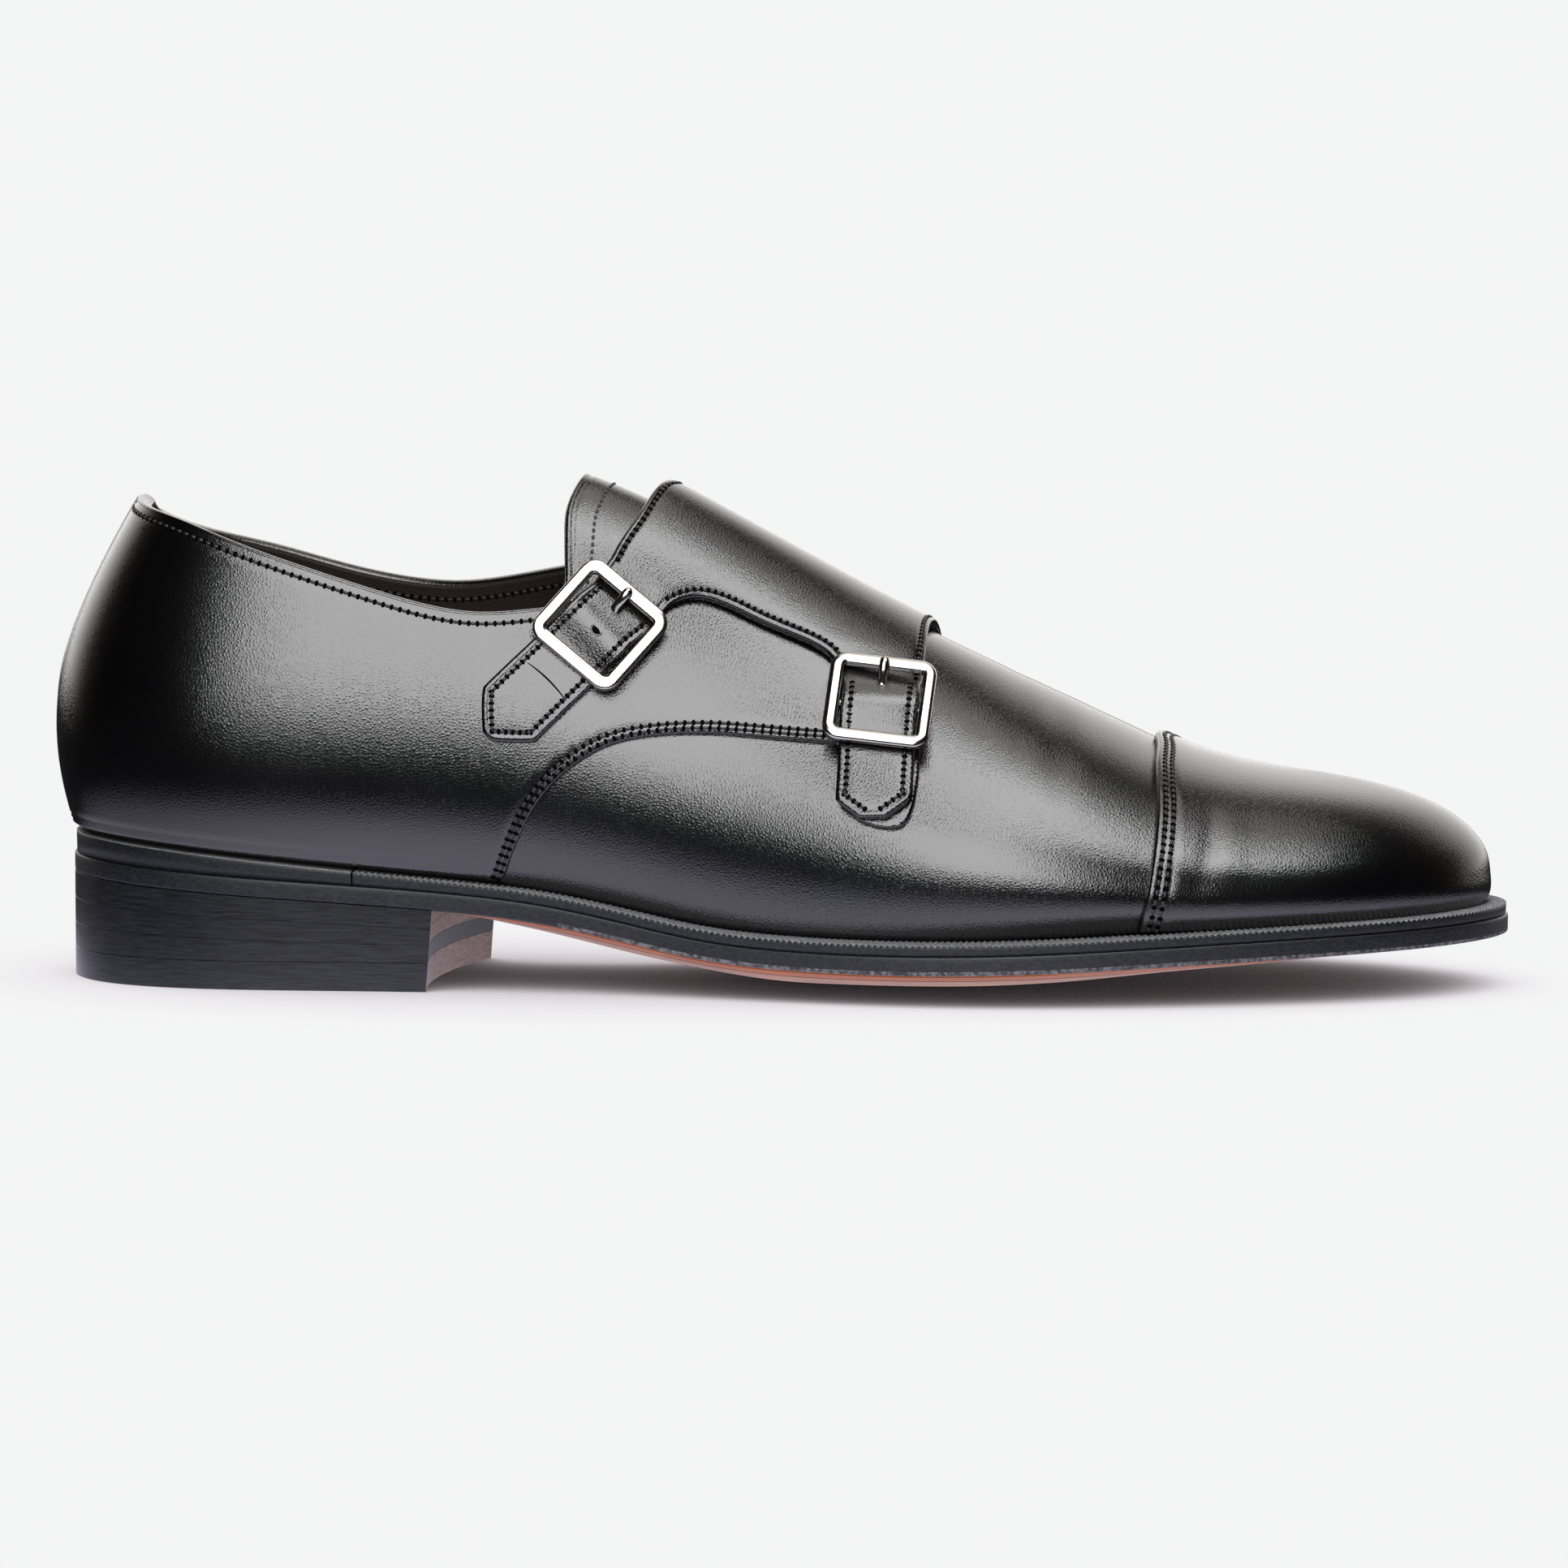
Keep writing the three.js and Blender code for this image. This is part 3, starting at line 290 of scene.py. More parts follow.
def plain_last(turn, up):
    """The last: a plan point pulled from the feather line to the spine by the form's share, at a
    height that climbs from the welt to the ridge by the rise's share."""
    turn, up = np.broadcast_arrays(np.asarray(turn, float), np.asarray(up, float))
    foot_point, middle, _ = plan_at(turn, feather(turn))
    knots = SIDE_RISE[:, 0]
    shares = np.concatenate([np.ones(turn.shape + (1,)), forms(turn / 2), np.zeros(turn.shape + (1,))], -1)
    shares = np.moveaxis(shares, -1, 0)
    bend = bends(knots, shares.reshape(len(knots), -1)).reshape(shares.shape)
    i = np.clip(np.searchsorted(knots, up) - 1, 0, len(knots) - 2)
    h = knots[i + 1] - knots[i]
    before, after = (knots[i + 1] - up) / h, (up - knots[i]) / h
    pick = lambda rows, k: np.take_along_axis(rows, k[None], 0)[0]
    curl = (before ** 3 - before) * pick(bend, i) + (after ** 3 - after) * pick(bend, i + 1)
    reach = before * pick(shares, i) + after * pick(shares, i + 1) + curl * h * h / 6
    point = middle + (foot_point - middle) * reach[..., None]
    foot = edge_lift(foot_point[..., 0]) + pack(foot_point[..., 0]) + GAP
    ridge = edge_lift(point[..., 0]) + ridge_rise(point[..., 0])
    share = rise_share(up)
    return np.concatenate([point, (foot * (1 - share) + ridge * share)[..., None]], -1)


# Steps over the ridge and their weights, for the mean that rounds it
RIDGE_STEPS = [(-1.0, 0.12), (-0.5, 0.22), (0.0, 0.32), (0.5, 0.22), (1.0, 0.12)]
RIDGE_SOFT, RIDGE_BAND = 0.055, 0.1


def last(turn, up):
    """The last with its ridge rounded: near the ridge, the mean of places on both sides of it."""
    turn, up = np.broadcast_arrays(np.asarray(turn, float), np.asarray(up, float))
    soft = RIDGE_SOFT * np.exp(-((1 - up) / RIDGE_BAND) ** 2)
    total = 0.0
    for step, weight in RIDGE_STEPS:
        level = up + step * soft
        total = total + weight * plain_last(np.where(level > 1, ROUND - turn, turn),
                                            np.where(level > 1, 2 - level, level))
    return total


def last_normal(turn, up):
    """Outward normal; near the ridge both sides share their mean."""
    turn, up = np.broadcast_arrays(np.asarray(turn, float), np.asarray(up, float))
    tiny = 0.004
    top = 1 - 2 * tiny

    def plain(t, v):
        around = last(t + tiny, v) - last(t - tiny, v)
        return unit(np.cross(around, last(t, v + tiny) - last(t, np.maximum(v - tiny, 0))))
    low = np.minimum(up, top)
    normal = plain(turn, low)
    mean = unit(normal + plain(ROUND - turn, low))
    return np.where((up > top)[..., None], mean, normal)


def on_side(along, over):
    """Turn and height for places on the upper: over 0 to 1 outer side, 1 to 2 inner side."""
    along, over = np.broadcast_arrays(np.asarray(along, float), np.asarray(over, float))
    inner = over > 1
    return np.where(inner, ROUND - ROWS * along, ROWS * along), np.where(inner, 2 - over, over)


def spun(turn, up, offset=0.0):
    """The last moved out along its normal by an offset, at turns and heights."""
    point = last(turn, up)
    if np.ndim(offset) or offset:
        point = point + last_normal(turn, up) * np.asarray(offset)[..., None]
    return point


def leather(along, over, offset=0.0):
    """The same at places on the upper."""
    return spun(*on_side(along, over), offset)


def normal_at(along, over):
    """The last's outward normal at places on the upper."""
    return last_normal(*on_side(along, over))


# Building pieces

def to_world(points):
    """Millimetres from the outsole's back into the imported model's metres."""
    return (np.asarray(points, float).reshape(-1, 3) + SHIFT) / 1000


def find_shift():
    """The move that lays the tread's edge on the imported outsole's box."""
    low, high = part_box("outsole")
    turn = np.linspace(0, ROUND, 400)
    x, y = edge_x(turn), edge_y(turn)
    return np.array([low[0] * 1000 - x.min(), (low[1] + high[1]) * 500 - (y.min() + y.max()) / 2, 0.0])


SHIFT = find_shift()
MATERIALS = {}


def piece(name, points, faces, material, uv=None, replaces=(), slot=None, mats=None):
    """A smooth mesh from whole arrays: points in millimetres, faces in groups of equal corners."""
    mesh = bpy.data.meshes.new(name)
    groups = [np.asarray(g, np.int32) for g in faces if len(g)]
    loops = np.concatenate([g.reshape(-1) for g in groups])
    totals = np.concatenate([np.full(len(g), g.shape[1], np.int32) for g in groups])
    starts = np.concatenate([[0], np.cumsum(totals)[:-1]]).astype(np.int32)
    mesh.vertices.add(len(points))
    mesh.vertices.foreach_set("co", to_world(points).astype(np.float32).reshape(-1))
    mesh.loops.add(len(loops))
    mesh.loops.foreach_set("vertex_index", loops)
    mesh.polygons.add(len(totals))
    mesh.polygons.foreach_set("loop_start", starts)
    mesh.polygons.foreach_set("loop_total", totals)
    mesh.polygons.foreach_set("use_smooth", np.ones(len(totals), bool))
    if mats is not None:
        mesh.polygons.foreach_set("material_index", np.asarray(mats, np.int32))
    mesh.update(calc_edges=True)
    if uv is not None:
        layer = mesh.uv_layers.new(name="UVMap")
        layer.data.foreach_set("uv", np.asarray(uv, np.float32)[loops].reshape(-1))
    mesh.validate()
    for mat in material if isinstance(material, (list, tuple)) else [material]:
        mesh.materials.append(MATERIALS[mat])
    thing = bpy.data.objects.new(name, mesh)
    bpy.context.scene.collection.objects.link(thing)
    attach(thing, "root")
    if replaces:
        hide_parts(*replaces)
    return thing


def between(lower, upper):
    """Quads between rings of point numbers and the rings above them, closed round."""
    face = np.stack([lower, np.roll(lower, -1, -1), np.roll(upper, -1, -1), upper], -1)
    return face.reshape(-1, 4)


def numbers(rows, columns):
    """Point numbers of a grid whose points run row by row."""
    return np.arange(rows * columns).reshape(rows, columns)


def length_along(points):
    """Distance of each point along its line from the first."""
    return np.concatenate([[0], np.cumsum(np.linalg.norm(np.diff(points, axis=0), axis=1))])


def smooth_path(places, spacing=None, count=None, closed=False):
    """Points at even steps along a centripetal curve through places (n, d)."""
    p = np.asarray(places, float)
    if closed:
        p = np.vstack([p, p[:1]])
    step = np.maximum(np.linalg.norm(np.diff(p, axis=0), axis=1), 1e-9) ** 0.5
    t = np.concatenate([[0], np.cumsum(step)])
    if closed:
        t = np.concatenate([t[-4:-1] - t[-1], t, t[-1] + t[1:4]])
        p = np.vstack([p[-4:-1], p, p[1:4]])
    curve = spline(t, p)
    first, final = (t[3], t[-4]) if closed else (t[0], t[-1])
    fine = np.linspace(first, final, 40 * len(p))
    points = curve(fine)
    reach = length_along(points)
    n = count or max(2, int(round(reach[-1] / spacing)) + 1)
    return curve(np.interp(np.linspace(0, reach[-1], n), reach, fine))


def even_on_leather(path, spacing):
    """A line of (along, over) places at even steps on the leather, in millimetres."""
    reach = length_along(leather(path[:, 0], path[:, 1]))
    n = max(2, int(round(reach[-1] / spacing)) + 1)
    at = np.linspace(0, reach[-1], n)
    return np.stack([np.interp(at, reach, path[:, k]) for k in (0, 1)], -1)


def metric(along, over):
    """Tangents of the leather per unit of along and of over."""
    tiny = 0.0006
    da = (leather(along + tiny, over) - leather(along - tiny, over)) / (2 * tiny)
    db = (leather(along, over + tiny) - leather(along, over - tiny)) / (2 * tiny)
    return da, db


def moved(path, goal):
    """Places moved by vectors in space, seen on the leather."""
    a, b = metric(path[:, 0], path[:, 1])
    aa, ab, bb = (a * a).sum(-1), (a * b).sum(-1), (b * b).sum(-1)
    ga, gb = (goal * a).sum(-1), (goal * b).sum(-1)
    scale = np.maximum(aa * bb - ab * ab, 1e-6)
    return path + np.stack([(ga * bb - gb * ab) / scale, (gb * aa - ga * ab) / scale], -1)


def beside(path, shift, closed=False):
    """The line moved sideways on the leather by a length, to the right of its course seen from
    outside."""
    points = leather(path[:, 0], path[:, 1])
    normal = normal_at(path[:, 0], path[:, 1])
    if closed:
        ahead = np.roll(points, -1, 0) - np.roll(points, 1, 0)
    else:
        ahead = np.gradient(points, axis=0)
    return moved(path, unit(np.cross(unit(ahead), normal)) * shift)


def inside_loop(points, loop):
    """Which points lie inside a closed line, by counting crossings."""
    x, y = points[:, 0, None], points[:, 1, None]
    x1, y1 = loop[:, 0], loop[:, 1]
    x2, y2 = np.roll(x1, -1), np.roll(y1, -1)
    spans = (y1 > y) != (y2 > y)
    cross = x1 + (y - y1) * (x2 - x1) / np.where(y2 == y1, 1e-12, y2 - y1)
    return (np.sum(spans & (x < cross), axis=1) % 2).astype(bool)


def nearest(points, loop, chunk=4000):
    """Distance of each point from the closest of the loop's points, some at a time."""
    parts = [points[i:i + chunk] for i in range(0, len(points), chunk)]
    return np.concatenate([np.sqrt(((p[:, None] - loop[None]) ** 2).sum(-1).min(1)) for p in parts])


# Drop of the upper face near a cut edge, as distances in millimetres and shares of the thickness:
# a rounded edge and a dip under each row of stitches
RIM = [(0.0, 0.6), (0.2, 0.2), (0.5, 0.0), (1.1, 0.04), (1.55, 0.2), (2.0, 0.04), (2.6, 0.0)]
SEAM_RIM = [(0.0, 0.6), (0.2, 0.2), (0.45, 0.04), (0.95, 0.2), (1.5, 0.0), (2.1, 0.2), (2.7, 0.0)]
CAP_RIM = [(0.0, 0.6), (0.2, 0.2), (0.5, 0.0), (1.2, 0.02), (1.7, 0.2), (2.4, 0.0), (3.3, 0.2),
           (4.2, 0.0)]
RIM_DEPTH = 0.72

# Panels: longest step along their edges, least share of its distance that a row inside the edge
# keeps, and millimetres per unit of along and over
EDGE_STEP = 1.1
ROW_KEPT = 0.86
PLACE_SCALE = np.array([SOLE_LENGTH, 105.0])


def rim_drop(distance, rim=RIM):
    """The table's drop at a distance from the edge."""
    table = np.array(rim)
    return np.interp(distance, table[:, 0], table[:, 1], right=0.0)


def flat_at(height):
    """The same height at every place."""
    return lambda along, over: np.full(np.shape(along), height)


def panel(name, loop, inner, thick, material, rim=RIM, spacing=1.25, **options):
    """A cut sheet of leather: a closed line of places on the last, filled with even points, with
    its upper face lowered near the edge by the rim's table of distance and drop, and its lower face
    at the inner offset. Inner and thick are functions of the place."""
    step = spacing / FINE
    loop = even_on_leather(np.vstack([loop, loop[:1]]), min(step, EDGE_STEP / FINE))[:-1]
    area = np.sum(loop[:, 0] * np.roll(loop[:, 1], -1) - np.roll(loop[:, 0], -1) * loop[:, 1])
    if area < 0:
        loop = loop[::-1]
    edge_points = leather(loop[:, 0], loop[:, 1])
    sets, drops, outline = [loop], [np.full(len(loop), rim[0][1])], len(loop)
    for distance, drop in rim[1:]:
        ring = beside(loop, -distance, closed=True)
        ring = ring[nearest(leather(ring[:, 0], ring[:, 1]), edge_points) > distance * ROW_KEPT]
        sets.append(ring)
        drops.append(np.full(len(ring), drop))
    reach = rim[-1][0] + step * 0.7
    low, high = loop.min(0), loop.max(0)
    counts = np.maximum(((high - low) * PLACE_SCALE / step).astype(int), 2)
    grid = np.stack(np.meshgrid(*[np.linspace(low[k], high[k], counts[k] + 1) for k in (0, 1)],
                                indexing="ij"), -1)
    grid[:, 1::2, 0] += (high[0] - low[0]) / counts[0] / 2
    grid = grid.reshape(-1, 2)
    grid = grid[inside_loop(grid, loop)]
    grid = grid[nearest(leather(grid[:, 0], grid[:, 1]), edge_points) > reach]
    sets.append(grid)
    drops.append(np.zeros(len(grid)))
    places, drop = np.concatenate(sets), np.concatenate(drops)
    chain = [(i, (i + 1) % outline) for i in range(outline)]
    found = delaunay_2d_cdt([tuple(p) for p in places * PLACE_SCALE], chain, [], 1, 1e-5)
    places = np.array([tuple(p) for p in found[0]]) / PLACE_SCALE
    tris = np.array(found[2], np.int64)
    # points that the triangulation adds have no source, and no drop
    source = np.array([origin[0] if origin else -1 for origin in found[3]])
    drop = np.where(source >= 0, drop[np.maximum(source, 0)], 0.0)
    along, over = places.T
    low_face = inner(along, over)
    base, normal = leather(along, over), normal_at(along, over)
    top = base + normal * (low_face + thick(along, over) * (1 - drop * RIM_DEPTH))[:, None]
    bottom = base + normal * low_face[:, None]
    corner, second, third = top[tris[0]]
    if np.cross(second - corner, third - corner) @ normal[tris[0, 0]] < 0:
        tris = tris[:, ::-1]
    sides = np.concatenate([tris[:, [0, 1]], tris[:, [1, 2]], tris[:, [2, 0]]])
    key = sides[:, 0] * len(top) + sides[:, 1]
    back = sides[:, 1] * len(top) + sides[:, 0]
    border = sides[~np.isin(key, back)]
    start, end = border.T
    wall_quads = np.stack([end, start, start + len(top), end + len(top)], -1)
    return piece(name, np.concatenate([top, bottom]), [tris, tris[:, ::-1] + len(top), wall_quads],
                 material, uv=np.concatenate([places, places]), **options)


# Seams and outlines, as places (along, over)
COLLAR_OUTER = np.array([
    [0, 0.672], [0.087, 0.655], [0.147, 0.63], [0.195, 0.588], [0.235, 0.552], [0.272, 0.522],
    [0.3, 0.505], [0.327, 0.505], [0.355, 0.53], [0.4, 0.6], [0.45, 0.74], [0.5, 0.92], [0.525, 1],
])
COLLAR_INNER = np.array([
    [0, 1.328], [0.087, 1.38], [0.147, 1.42], [0.195, 1.45], [0.235, 1.48], [0.272, 1.495],
    [0.3, 1.49], [0.327, 1.465], [0.355, 1.425], [0.4, 1.34], [0.45, 1.21], [0.5, 1.06], [0.525, 1],
])
THROAT = 0.525


def collar(table):
    """The collar's height on one side, on the ridge from the throat on."""
    curve = spline(table[:, 0], table[:, 1])
    return lambda along: np.where(np.asarray(along) >= THROAT, 1.0, curve(np.minimum(along, THROAT)))


collar_outer, collar_inner = collar(COLLAR_OUTER), collar(COLLAR_INNER)


FOOT = 0.014
CAP_FOOT = 0.03
STRIP_HALF = 0.023
STRIP_FOOT = 0.2
QUARTER_TOP = 0.72
SEAM_OUTER = np.array([
    [0.341, FOOT], [0.343, 0.033], [0.3475, 0.075], [0.3515, 0.107], [0.3565, 0.143], [0.364, 0.183],
    [0.374, 0.225], [0.389, 0.275], [0.409, 0.325], [0.438, 0.373], [0.468, 0.411], [0.51, 0.449],
    [0.54, 0.478],
])
SEAM_INNER = np.array([
    [0.341, 2 - FOOT], [0.35, 1.89], [0.368, 1.785], [0.4, 1.66], [0.463, 1.565], [0.535, 1.46],
    [0.6, 1.29],
])
CAP_EDGE = np.array([
    [0.7367, CAP_FOOT], [0.7425, 0.25], [0.748, 0.45], [0.753, 0.62], [0.761, 0.82],
    [0.7733, 1], [0.763, 1.18], [0.755, 1.38], [0.748, 1.55], [0.742, 1.75], [0.736, 2 - CAP_FOOT],
])
FLAP_LOWER = np.array([
    [0.54, 0.667], [0.5365, 0.6765], [0.527, 0.683], [0.51, 0.682], [0.49, 0.681], [0.475, 0.683],
    [0.46, 0.677], [0.448, 0.657], [0.438, 0.627],
])
FLAP_REAR = np.array([
    [0.402, 0.68], [0.408, 0.73], [0.417, 0.8], [0.425, 0.88], [0.433, 0.96], [0.4365, 1.0],
    [0.435, 1.1], [0.429, 1.2], [0.41, 1.355],
])
FLAP_FRONT = np.array([
    [0.6, 1.29], [0.602, 1.22], [0.606, 1.1], [0.6075, 1], [0.604, 0.927], [0.6, 0.8], [0.598, 0.7],
])
# Straps: places of root, tip and buckle, and how far the frame is turned to its strap, in degrees
STRAPS = {
    "upper": {"root": (0.437, 0.7), "tip": (0.333, 0.273), "buckle": (0.396, 0.532), "turned": 6},
    "lower": {"root": (0.5725, 0.75), "tip": (0.5665, 0.31), "buckle": (0.572, 0.595), "turned": -5},
}


def strap_line(strap, share):
    """Places on a strap's middle line at shares from root to tip."""
    root, tip = np.array(strap["root"]), np.array(strap["tip"])
    return root + (tip - root) * np.asarray(share)[..., None]


def strap_frame(strap, share):
    """Origin, forward, across and outward axes of a strap at shares of its line."""
    place = strap_line(strap, share)
    tiny = 0.002
    origin = leather(place[..., 0], place[..., 1])
    normal = normal_at(place[..., 0], place[..., 1])
    after, before = strap_line(strap, share + tiny), strap_line(strap, share - tiny)
    ahead = leather(after[..., 0], after[..., 1]) - leather(before[..., 0], before[..., 1])
    forward = unit(ahead - normal * (ahead * normal).sum(-1, keepdims=True))
    return place, origin, forward, np.cross(normal, forward), normal


def buckle_frame(strap):
    """Origin, forward, across and outward axes at a strap's buckle."""
    share = (strap["buckle"][1] - strap["root"][1]) / (strap["tip"][1] - strap["root"][1])
    _, origin, forward, across, normal = strap_frame(strap, np.array([share]))
    return origin[0], forward[0], across[0], normal[0]


BUCKLES = {name: buckle_frame(strap) for name, strap in STRAPS.items()}


def arch_over(points):
    """Rise of the flap and straps over the buckle bars."""
    rise = np.zeros(points.shape[:-1])
    for origin, forward, across, _ in BUCKLES.values():
        offset = points - origin
        away = offset @ forward / ARCH_REACH
        fade = 1 - smoothstep(np.abs(offset @ across) - STRAP_WIDTH / 2, 0.0, ARCH_REACH)
        rise = np.maximum(rise, STRAP_ARCH * np.exp(-away * away) * fade)
    return rise


def flap_share(over):
    """How much the sheet is raised as a flap: fully low on the outer side, not at all once it is
    well over on the inner side."""
    return smoothstep(1.3 - np.asarray(over), 0, 0.6)


def flap_inner(along, over):
    """Lower face of the flap's sheet, raised over the quarter and, on the outer side, the bars."""
    arch = arch_over(leather(along, over)) * (np.asarray(over) < 1)
    return CURVED_GAP + (FLAP_SEAT - CURVED_GAP) * flap_share(over) + arch


def flap_thick(along, over):
    """Full on the flap, thinner where a strap passes under its buckle."""
    points = leather(along, over)
    thin = np.zeros(points.shape[:-1])
    outer = np.asarray(over) < 1
    for origin, forward, across, _ in BUCKLES.values():
        offset = points - origin
        beside_strap = smoothstep(np.abs(offset @ across), STRAP_WIDTH * 0.6, STRAP_WIDTH * 0.9)
        thin = np.maximum(thin, (1 - smoothstep(-(offset @ forward), 10, 16)) * (1 - beside_strap))
    return OVERLAY + (FLAP - OVERLAY) * flap_share(over) - STRAP_PARED * thin * outer


def flap_top(along, over):
    """Height of the flap's upper face over the last."""
    return flap_inner(along, over) + flap_thick(along, over)


# Materials

def material(name):
    """A new material with its node tree and its shader node."""
    mat = bpy.data.materials.new(name)
    mat.use_nodes = True
    MATERIALS[name] = mat
    return mat, mat.node_tree, mat.node_tree.nodes["Principled BSDF"]


def node(tree, kind, **settings):
    """A new node with its properties or, by name, its sockets set."""
    made = tree.nodes.new(kind)
    for key, value in settings.items():
        if hasattr(made, key):
            setattr(made, key, value)
        else:
            made.inputs[key.replace("_", " ")].default_value = value
    return made


def ramp(tree, source, stops):
    """Colour that follows a value from stop to stop."""
    made = tree.nodes.new("ShaderNodeValToRGB")
    elements = made.color_ramp.elements
    while len(elements) < len(stops):
        elements.new(0.5)
    for element, (at, colour) in zip(elements, stops):
        element.position = at
        element.color = (*colour, 1)
    tree.links.new(source, made.inputs["Fac"])
    return made.outputs["Color"]


def maths(tree, operation, a, b):
    """One sum of two values, each a number or a socket."""
    made = tree.nodes.new("ShaderNodeMath")
    made.operation = operation
    for socket, value in zip(made.inputs, (a, b)):
        if isinstance(value, (int, float)):
            socket.default_value = value
        else:
            tree.links.new(value, socket)
    return made.outputs[0]


def grain_group():
    """Fine pebbled calf: a height from two sizes of cells and soft uneven patches."""
    tree = bpy.data.node_groups.new("calf_grain", "ShaderNodeTree")
    tree.interface.new_socket("Scale", in_out="INPUT", socket_type="NodeSocketFloat")
    tree.interface.new_socket("Height", in_out="OUTPUT", socket_type="NodeSocketFloat")
    tree.interface.new_socket("Patches", in_out="OUTPUT", socket_type="NodeSocketFloat")
    start, end = tree.nodes.new("NodeGroupInput"), tree.nodes.new("NodeGroupOutput")
    place = tree.nodes.new("ShaderNodeTexCoord").outputs["Object"]
    size = tree.nodes.new("ShaderNodeVectorMath")
    size.operation = "SCALE"
    tree.links.new(place, size.inputs[0])
    tree.links.new(start.outputs["Scale"], size.inputs["Scale"])
    cells = node(tree, "ShaderNodeTexVoronoi", feature="DISTANCE_TO_EDGE", Scale=1.0)
    fine = node(tree, "ShaderNodeTexNoise", Scale=2.6, Detail=3.0, Roughness=0.6)
    broad = node(tree, "ShaderNodeTexNoise", Scale=0.03, Detail=2.0)
    for made in (cells, fine, broad):
        tree.links.new(size.outputs[0], made.inputs["Vector"])
    edge = maths(tree, "MINIMUM", maths(tree, "MULTIPLY", cells.outputs["Distance"], 2.4), 1.0)
    height = maths(tree, "ADD", edge, maths(tree, "MULTIPLY", fine.outputs["Fac"], 0.4))
    tree.links.new(height, end.inputs["Height"])
    tree.links.new(broad.outputs["Fac"], end.inputs["Patches"])
    return tree


GRAIN_SCALE = 1500.0
CALF_GRAIN = grain_group()


def leather_material(name, colour, rough, strength, spec):
    """Smooth leather with the grain as relief and its patches in the roughness."""
    _, tree, shader = material(name)
    group = tree.nodes.new("ShaderNodeGroup")
    group.node_tree = CALF_GRAIN
    group.inputs["Scale"].default_value = GRAIN_SCALE
    bump = node(tree, "ShaderNodeBump", Strength=strength, Distance=0.00012)
    tree.links.new(group.outputs["Height"], bump.inputs["Height"])
    tree.links.new(bump.outputs["Normal"], shader.inputs["Normal"])
    shader.inputs["Base Color"].default_value = (*colour, 1)
    patch = maths(tree, "MULTIPLY", group.outputs["Patches"], 0.08)
    tree.links.new(maths(tree, "ADD", patch, rough - 0.04), shader.inputs["Roughness"])
    shader.inputs["Specular IOR Level"].default_value = spec


def plain_material(name, colour, rough, metallic=0.0, spec=0.5):
    """One colour and one finish all over."""
    _, _, shader = material(name)
    shader.inputs["Base Color"].default_value = (*colour, 1)
    shader.inputs["Roughness"].default_value = rough
    shader.inputs["Metallic"].default_value = metallic
    shader.inputs["Specular IOR Level"].default_value = spec


def noisy_material(name, stops, rough, scale, bump, spec=0.4, stretch=(1, 1, 1)):
    """Colour from noise along stretched object axes, with the same noise as relief."""
    _, tree, shader = material(name)
    place = tree.nodes.new("ShaderNodeTexCoord").outputs["Object"]
    mapping = tree.nodes.new("ShaderNodeMapping")
    mapping.inputs["Scale"].default_value = stretch
    tree.links.new(place, mapping.inputs["Vector"])
    noise = node(tree, "ShaderNodeTexNoise", Scale=scale, Detail=4.0, Roughness=0.65)
    tree.links.new(mapping.outputs[0], noise.inputs["Vector"])
    tree.links.new(ramp(tree, noise.outputs["Fac"], stops), shader.inputs["Base Color"])
    relief = node(tree, "ShaderNodeBump", Strength=bump, Distance=0.0001)
    tree.links.new(noise.outputs["Fac"], relief.inputs["Height"])
    tree.links.new(relief.outputs["Normal"], shader.inputs["Normal"])
    shader.inputs["Roughness"].default_value = rough
    shader.inputs["Specular IOR Level"].default_value = spec


leather_material("calf", (0.0012, 0.0012, 0.0014), 0.2, strength=0.22, spec=1.0)
leather_material("lining", (0.014, 0.0085, 0.0065), 0.6, strength=0.4, spec=0.3)
leather_material("sock", (0.07, 0.035, 0.02), 0.6, strength=0.3, spec=0.3)
plain_material("thread", (0.02, 0.02, 0.022), 0.45, spec=0.6)
# near-black and matte: painted shade for the stitch holes, the punched hole and the pressed line
plain_material("hole", (0.001, 0.001, 0.001), 0.9, spec=0.05)
plain_material("lining_thread", (0.02, 0.011, 0.008), 0.7)
plain_material("channel", (0.02, 0.01, 0.006), 0.8)
plain_material("nickel", (0.5, 0.475, 0.44), 0.16, metallic=1.0)
noisy_material("edge", [(0.4, (0.004, 0.0045, 0.006)), (0.75, (0.022, 0.023, 0.028))], 0.45,
               scale=900, bump=0.25, stretch=(1, 1, 2.5))
# the grey of the welt's top is painted light falling on it from above
noisy_material("welt_top_painted_light", [(0.3, (0.07, 0.07, 0.075)), (0.75, (0.27, 0.27, 0.28))], 0.5,
               scale=1500, bump=0.3)
noisy_material("worn", [(0.4, (0.02, 0.02, 0.022)), (0.72, (0.2, 0.195, 0.19))], 0.6,
               scale=900, bump=0.3)
noisy_material("sole", [(0.3, (0.26, 0.068, 0.018)), (0.75, (0.36, 0.108, 0.032))], 0.6,
               scale=90, bump=0.08, spec=0.12)
noisy_material("sole_worn", [(0.3, (0.2, 0.08, 0.032)), (0.75, (0.33, 0.145, 0.06))], 0.6,
               scale=60, bump=0.1)
noisy_material("stack", [(0.3, (0.09, 0.055, 0.038)), (0.8, (0.24, 0.16, 0.12))], 0.62,
               scale=260, bump=0.35, stretch=(1, 1, 6))
noisy_material("rubber", [(0.3, (0.006, 0.006, 0.006)), (0.8, (0.016, 0.016, 0.017))], 0.6,
               scale=700, bump=0.25)
noisy_material("heel_side", [(0.38, (0.002, 0.0022, 0.003)), (0.72, (0.022, 0.0235, 0.028))], 0.34,
               scale=500, bump=0.25, stretch=(0.4, 0.4, 8))


# Upper: vamp leather outside and lining inside, both from welt to collar

